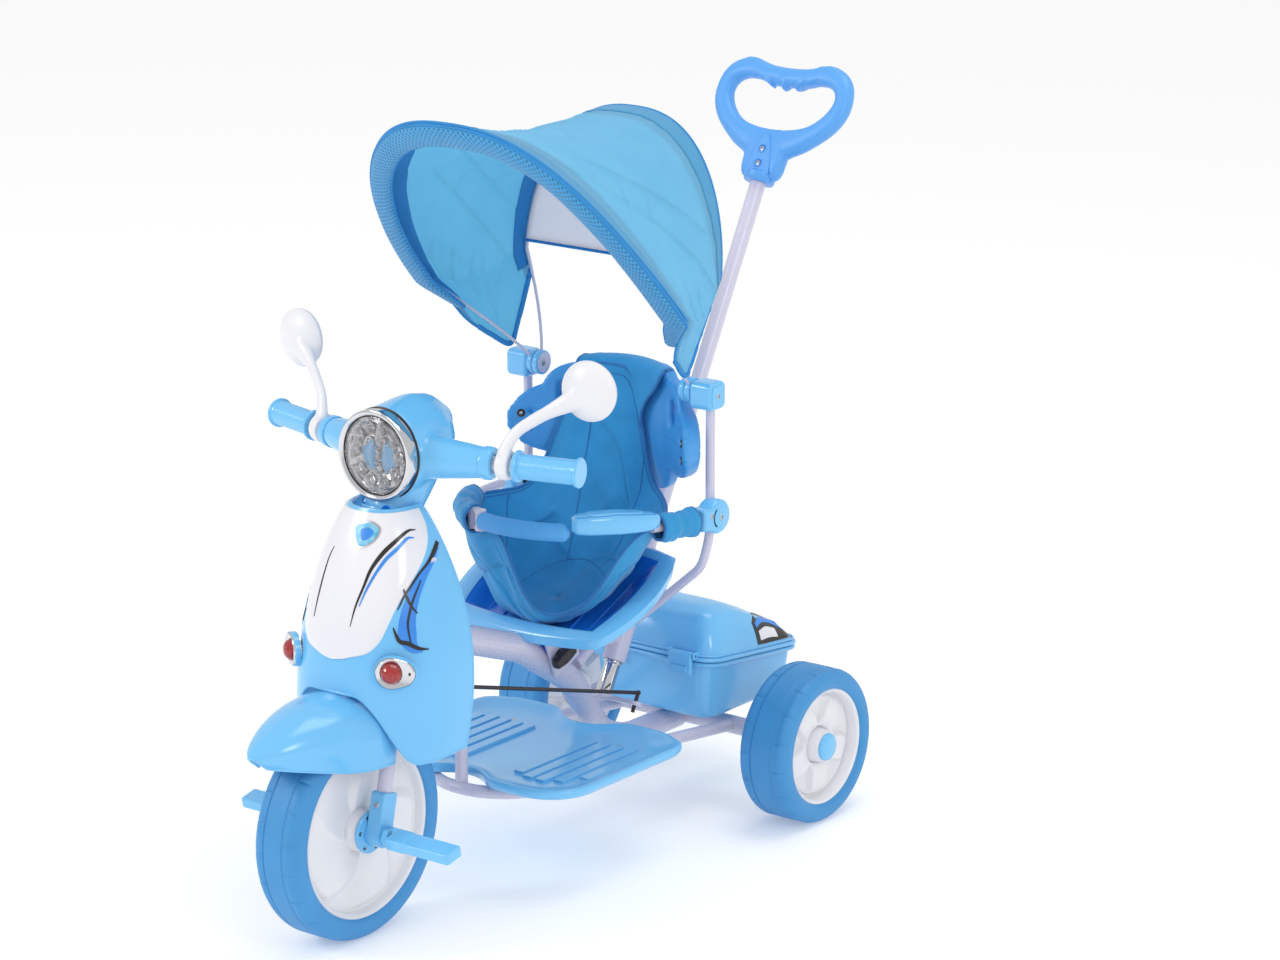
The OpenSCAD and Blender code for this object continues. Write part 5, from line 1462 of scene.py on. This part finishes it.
# Rear window of light mesh between the sides of the rear bow, bound along its lower edge
levels = np.linspace(0.335, 0.97, 26)
across = np.linspace(-1, 1, 31)
rows = []
for t_now in levels:
    edge = bow_side(*REAR_BOW, t_now)
    x = across * (edge[0] - 1.0)
    y = edge[1] - 3 + 5 * (1 - across**2) * np.sin((t_now - 0.335) / 0.635 * math.pi)
    rows.append(level(x, y, edge[2]))
flap = cloth_piece("canopy_window", np.array(rows), "flap", "rear_bow", 0.8)
binding = tube("canopy_window_binding", np.array(rows[0]) - [0, 0, 2], 3.6, "strip", "rear_bow",
               up=(0, 0, 1), sides=12, flat=0.5, round_ends=True)

# Blocks that carry the bows on the back legs
for side, word in SIDES:
    at = frame_at(side * 145.5, -144, 582, ("Y", 90 * side))
    block("canopy_clamp_" + word, (35, 34, 32), "sky", "frame", at=at, radius=8,
          replaces="canopy_block_" + word)
    face = frame_at(side * 161.5, -144, 582, ("Y", 90 * side))
    prism("canopy_clamp_face_" + word, rounded_rect(26, 25, 6), 0.9, "sky", "frame", at=face, bevel=0.5)
    screw("canopy_clamp_screw_" + word, "frame", face @ shift(0, 0, 0.9), 3.6)
    for k, (body, x0) in enumerate((("front_bow", 120.5), ("rear_bow", 111.5))):
        hub = frame_at(side * x0, PIVOT_Y, PIVOT_Z, ("Y", 90 * side))
        drum = [(4.2, 0.1), (14, 0.1), (15.4, 0.8), (15.8, 2), (15.8, 6.8), (15.2, 8), (14, 8.5),
                (4.2, 8.5)]
        lathe(f"canopy_hub_{word}_{k}", drum, "sky", body, at=hub, steps=44, loop=True)
    inner_end = frame_at(side * 111.5, PIVOT_Y, PIVOT_Z, ("Y", -90 * side))
    screw("canopy_hub_screw_" + word, "frame", inner_end, 3.8)

# ---------------------------------------------------------------- storage box
BOX_Y0, BOX_Y1 = -76.0, 126.0
BOX_MID = 25.0


def box_rim(y, gap=0.0):
    return BOX_RIM_Z + gap - BOX_SLOPE * (y - BOX_Y0)


def box_outline(width, length, radius, steps=9):
    """Rounded rectangle with extra points along its straight sides."""
    corners = rounded_rect(width, length, radius, steps)
    out = []
    for k, p in enumerate(corners):
        q = corners[(k + 1) % len(corners)]
        out.append(p)
        if math.dist(p, q) > 20:
            out += [(mix(p[0], q[0], f), mix(p[1], q[1], f)) for f in (0.15, 0.3, 0.5, 0.7, 0.85)]
    return np.array(out)


def box_ring(f, scale):
    o = box_outline(196, 194, 24) * scale
    y = o[:, 1] + BOX_MID
    z = BOX_FLOOR_Z + (box_rim(y) - BOX_FLOOR_Z) * f
    return np.stack([o[:, 0], y, z], axis=1)


outside = [(0.0, 0.70), (0.0, 0.86), (0.012, 0.90), (0.045, 0.925), (0.12, 0.938), (0.35, 0.953),
           (0.6, 0.968), (0.85, 0.985), (0.93, 0.99), (0.94, 1.0), (1.0, 1.0)]
within = [(1.0, 0.968), (0.9, 0.962), (0.6, 0.94), (0.3, 0.922), (0.12, 0.9), (0.06, 0.88), (0.045, 0.82),
          (0.045, 0.5), (0.045, 0.02)]
rows = [box_ring(0.0, 0.02)] + [box_ring(f, g) for f, g in outside] + [box_ring(f, g) for f, g in within]
surface("box_tub", np.array(rows), "sky", "frame", wrap_v=True, caps=True, replaces="storage_box", sharp=45)
o = box_outline(202.2, 200.2, 25)
rim_path = np.stack([o[:, 0], o[:, 1] + BOX_MID, box_rim(o[:, 1] + BOX_MID, -3.4)], axis=1)
tube("box_flange", rim_path, 3.0, "sky", "frame", sides=14, closed=True)
HINGE_Y = BOX_Y1 + 7
HINGE_Z = box_rim(HINGE_Y)
for side, word in SIDES:
    block(f"box_hinge_lug_{word}", (12, 16, 6), "sky", "frame",
          at=frame_at(side * 40, HINGE_Y - 8, HINGE_Z - 3.5), radius=1.6)
    x0 = 46.4 if side > 0 else -58.4
    for owner, body, x, bore in (("box", "frame", side * 40 - 6, 2.0), ("lid", "box_lid", x0, 2.1)):
        barrel = [(bore, 0), (4.6, 0), (5, 0.5), (5, 11.5), (4.6, 12), (bore, 12)]
        lathe(f"{owner}_knuckle_{word}", barrel, "sky", body, at=frame_at(x, HINGE_Y, HINGE_Z, ("Y", 90)),
              steps=28, loop=True)
    block(f"lid_hinge_tab_{word}", (12, 12, 4), "sky", "box_lid",
          at=frame_at(x0 + 6, HINGE_Y - 6, HINGE_Z + 4.4), radius=1.4)

LID_Y = (-76, -66, -40, -5, 30, 60, 90, 115, 126)
LID_H = (54, 61, 68, 69, 59, 47, 36, 27, 22)


def lid_height(y):
    return np.interp(y, LID_Y, LID_H)


def lid_point(rho, o, inset=0.0):
    """Point of the lid: rho from its crown to its rim, o the outline's points."""
    scale = (102.5 - inset) / 102.5
    x = o[None, :, 0] * rho[:, None] * scale
    y = o[None, :, 1] * rho[:, None] * scale + BOX_MID
    dome = np.maximum(1 - rho[:, None] ** 5.2, 0) ** (1 / 2.4)
    wall = 1 - 0.075 * dome * smooth((rho[:, None] - 0.7) / 0.3)
    z = box_rim(y, 0.6) + (lid_height(y) - inset) * dome
    return np.stack([x * wall, BOX_MID + (y - BOX_MID) * wall, z], axis=-1)


o = box_outline(204, 202, 26, 12)
rho = np.concatenate([[0.01], np.linspace(0.08, 0.72, 14), 1 - np.linspace(0.5, 0, 30) ** 2.6])
lid_top = lid_point(rho, o)
for _ in range(2):
    middle_rows = lid_top[1:-6].copy()
    middle_rows[..., 2] = (lid_top[:-7, :, 2] + lid_top[1:-6, :, 2] * 2 + lid_top[2:-5, :, 2]) / 4
    lid_top[1:-6] = middle_rows
lid_low = lid_point(rho, o, 3.0)
lid_low[-1, :, 2] = lid_top[-1, :, 2]
shell("lid_moulding", lid_top, lid_low, "sky", "box_lid", wrap_v=True, replaces="box_lid", sharp=60)
o2 = box_outline(205, 203, 26)
for k, (gap, width, r) in enumerate(((3.2, 0.0, 2.7), (8.4, -2.4, 1.5))):
    ring = o2 * (1 + width / 205)
    flange_path = np.stack([ring[:, 0], ring[:, 1] + BOX_MID, box_rim(ring[:, 1] + BOX_MID, gap)], axis=1)
    tube(f"lid_flange_{k}", flange_path, r, "sky", "box_lid", sides=12, closed=True)
lid_tree = under("lid_moulding")
for side, word in SIDES:
    body = "box_latch_" + word
    block("latch_plate_" + word, (36, 7, 27), "sky", body, at=frame_at(side * 60, -84.0, 202), radius=2.4,
          replaces="box_latch_" + word)
    block("latch_ledge_" + word, (26, 3, 8), "sky", body, at=frame_at(side * 60, -88.0, 196), radius=1.4)
    lathe("latch_barrel_" + word, [(1.6, -18), (3.6, -18), (4, -17.4), (4, 17.4), (3.6, 18), (1.6, 18)],
          "sky", body, at=frame_at(side * 60, -81, 214, ("Y", 90)), steps=28, loop=True)
    for ear in (-20.3, 20.3):
        block(f"lid_ear_{word}_{int(ear > 0)}", (3.4, 12, 8), "sky", "box_lid",
              at=frame_at(side * 60 + ear, -79.0, 214), radius=1.4)
    lathe("lid_latch_pin_" + word, [(0.01, -22), (1.45, -22), (1.45, 22), (0.01, 22)], "steel", "box_lid",
          at=frame_at(side * 60, -81, 214, ("Y", 90)), steps=16)


def drape(name, tree, top, low, way, mat, body, lift=0.5, across=7):
    """A decal between two edges, laid on a piece along way; the edges are lists of start points."""
    f = np.linspace(0, 1, 26)
    up, down = [
        np.stack([np.interp(f, np.linspace(0, 1, len(q)), q[:, i]) for i in range(3)], axis=1)
        for q in (curve(top, 6), curve(low, 6))
    ]
    rows = []
    for g in np.linspace(0, 1, across):
        row = []
        for p in mix(up, down, g):
            place, normal = cast(tree, p, way)
            if place is None:
                return None
            row.append(place + normal * lift)
        rows.append(row)
    outside_face = np.array(rows)
    return shell(name, outside_face, outside_face + np.array(Vector(way).normalized()) * (lift + 0.5), mat,
                 body)


THIN = dict(lift=0.9, across=4)
LID_DECALS = (
    ("", "stripe_black", {}, (30, 46, 70, 94, 114), (240, 247, 242, 228, 208), (211, 209, 206.5, 204, 202)),
    ("blue_", "stripe_blue", THIN, (36, 56, 80, 98), (238, 241, 232, 219), (232, 234, 225, 213)),
    ("white_", "white", THIN, (38, 58, 78), (227, 228, 221), (215, 214, 210)),
)
for side, word in SIDES:
    for tag, mat, looks, ys, high, low in LID_DECALS:
        top, foot = [[(side * 150, y, z) for y, z in zip(ys, edge)] for edge in (high, low)]
        drape("lid_decal_" + tag + word, lid_tree, top, foot, (-side, 0, -0.12), mat, "box_lid", **looks)
place, normal = cast(lid_tree, (0, 70, 300), (0, 0, -1))
spot = facing(place, normal)
turn = np.linspace(0, 2 * math.pi, 48, endpoint=False)
rows = [level(17 * f * np.cos(turn), 9 * f * np.sin(turn), z)
        for f, z in ((1.0, -1.5), (1.0, 1.2), (0.93, 2.0), (0.84, 2.1), (0.80, 1.4), (0.5, 1.7),
                     (0.02, 1.8))]
surface("lid_emblem", np.array(rows), "chrome", "box_lid", wrap_v=True, at=spot, replaces="lid_badge")

# ---------------------------------------------------------------- footrest
def tray_inside(x, y):
    x = abs(x)
    ahead = abs(y - TRAY_Y)
    dx, dy = max(x - TRAY_HALF + TRAY_CORNER, 0), max(ahead - TRAY_LENGTH + TRAY_CORNER, 0)
    in_corner = dx == 0 or dy == 0 or math.hypot(dx, dy) <= TRAY_CORNER
    body = x <= TRAY_HALF and ahead <= TRAY_LENGTH and in_corner
    wx, wy = max(abs(x - 116) - 36, 0), max(abs(y + 232) - 16, 0)
    wing = abs(x - 116) <= 48 and abs(y + 232) <= 28 and (wx == 0 or wy == 0 or wx * wx + wy * wy <= 144)
    cut = math.hypot(x, y + 495) < 56 or math.hypot(x, y + 165) < 56
    return (body or wing) and not cut


turns = np.linspace(0, 2 * math.pi, 240, endpoint=False)
reach = []
for a in turns:
    r = 0.0
    while tray_inside(math.cos(a) * (r + 1), TRAY_Y + math.sin(a) * (r + 1)):
        r += 1.0
    reach.append(r)
reach = soft_loop(np.array(reach), 6)
profile = [(0.02, 138.5), (0.2, 138.5), (0.4, 138.6), (0.6, 138.9), (0.74, 139.6), (0.84, 141.4),
           (0.90, 144.0),
           (0.94, 146.8), (0.965, 148.0), (0.985, 147.9), (0.998, 146.2), (1.0, 143.5), (0.99, 138.5),
           (0.975, 135.4), (0.93, 134.2), (0.84, 134.0), (0.6, 134.0), (0.3, 134.0), (0.02, 134.0)]
rows = []
for f, z in profile:
    rows.append(level(np.cos(turns) * reach * f, TRAY_Y + np.sin(turns) * reach * f, z))
surface("tray_moulding", np.array(rows), "sky", "frame", wrap_v=True, caps=True, replaces="footrest",
        sharp=50)
for side, word in SIDES:
    for k in range(5):
        x = side * (50 + 20 * k)
        long = (150, 158, 160, 150, 118)[k]
        block(f"tray_step_{word}_{k}", (14.5, long, 5.0), "sky", "frame",
              at=frame_at(x, -322 - (6, 10, 10, 4, -6)[k], 139.9), radius=1.6)
    for k, y in enumerate((-404, -246)):
        lathe(f"tray_bolt_{word}_{k}", [(0.01, 1.0), (2.2, 0.9), (3.6, 0.4), (4.2, 0)], "steel", "frame",
              at=frame_at(side * 84, y, 138.9), steps=20)

# ---------------------------------------------------------------- floor, light and camera
def plain(name, shade, glow=0.0):
    m = bpy.data.materials.new(name)
    m.use_nodes = True
    shader = m.node_tree.nodes["Principled BSDF"]
    shader.inputs["Base Color"].default_value = (*shade, 1)
    shader.inputs["Roughness"].default_value = 0.9
    shader.inputs["Specular IOR Level"].default_value = 0.1
    shader.inputs["Emission Color"].default_value = (1, 1, 1, 1)
    shader.inputs["Emission Strength"].default_value = glow
    return m


ground = bpy.data.meshes.new("ground")
ground.from_pydata([(-30, -30, 0), (30, -30, 0), (30, 30, 0), (-30, 30, 0)], [], [(0, 1, 2, 3)])
ground.materials.append(plain("studio_floor", (0.86, 0.86, 0.86), 0.26))
placed("ground", ground)

world = bpy.data.worlds.new("studio")
scene.world = world
world.use_nodes = True
world.node_tree.nodes["Background"].inputs["Color"].default_value = (1, 1, 1, 1)
world.node_tree.nodes["Background"].inputs["Strength"].default_value = 0.78


def softbox(name, place, target, size, power):
    light = bpy.data.lights.new(name, "AREA")
    light.shape = "RECTANGLE"
    light.size, light.size_y = size
    light.energy = power
    lamp = placed(name, light)
    lamp.location = place
    lamp.rotation_euler = (Vector(target) - Vector(place)).to_track_quat("-Z", "Y").to_euler()


softbox("key_light", (-2.4, -3.2, 2.6), (0, -0.1, 0.4), (0.9, 1.3), 46)
softbox("fill_light", (3.4, -1.2, 2.2), (0, 0.0, 0.4), (0.8, 1.4), 22)
softbox("top_light", (0.6, 0.6, 3.2), (0, 0, 0.4), (1.6, 1.6), 20)

lens = bpy.data.cameras.new("camera")
lens.lens = 116.77
lens.sensor_width = 36
camera = placed("camera", lens)
camera.location = (3.0946, -3.8626, 1.8356)
aim = Vector((0, 0.1992, 0.4366)) - camera.location
camera.rotation_euler = aim.to_track_quat("-Z", "Y").to_euler()
scene.camera = camera
scene.view_settings.view_transform = "Standard"
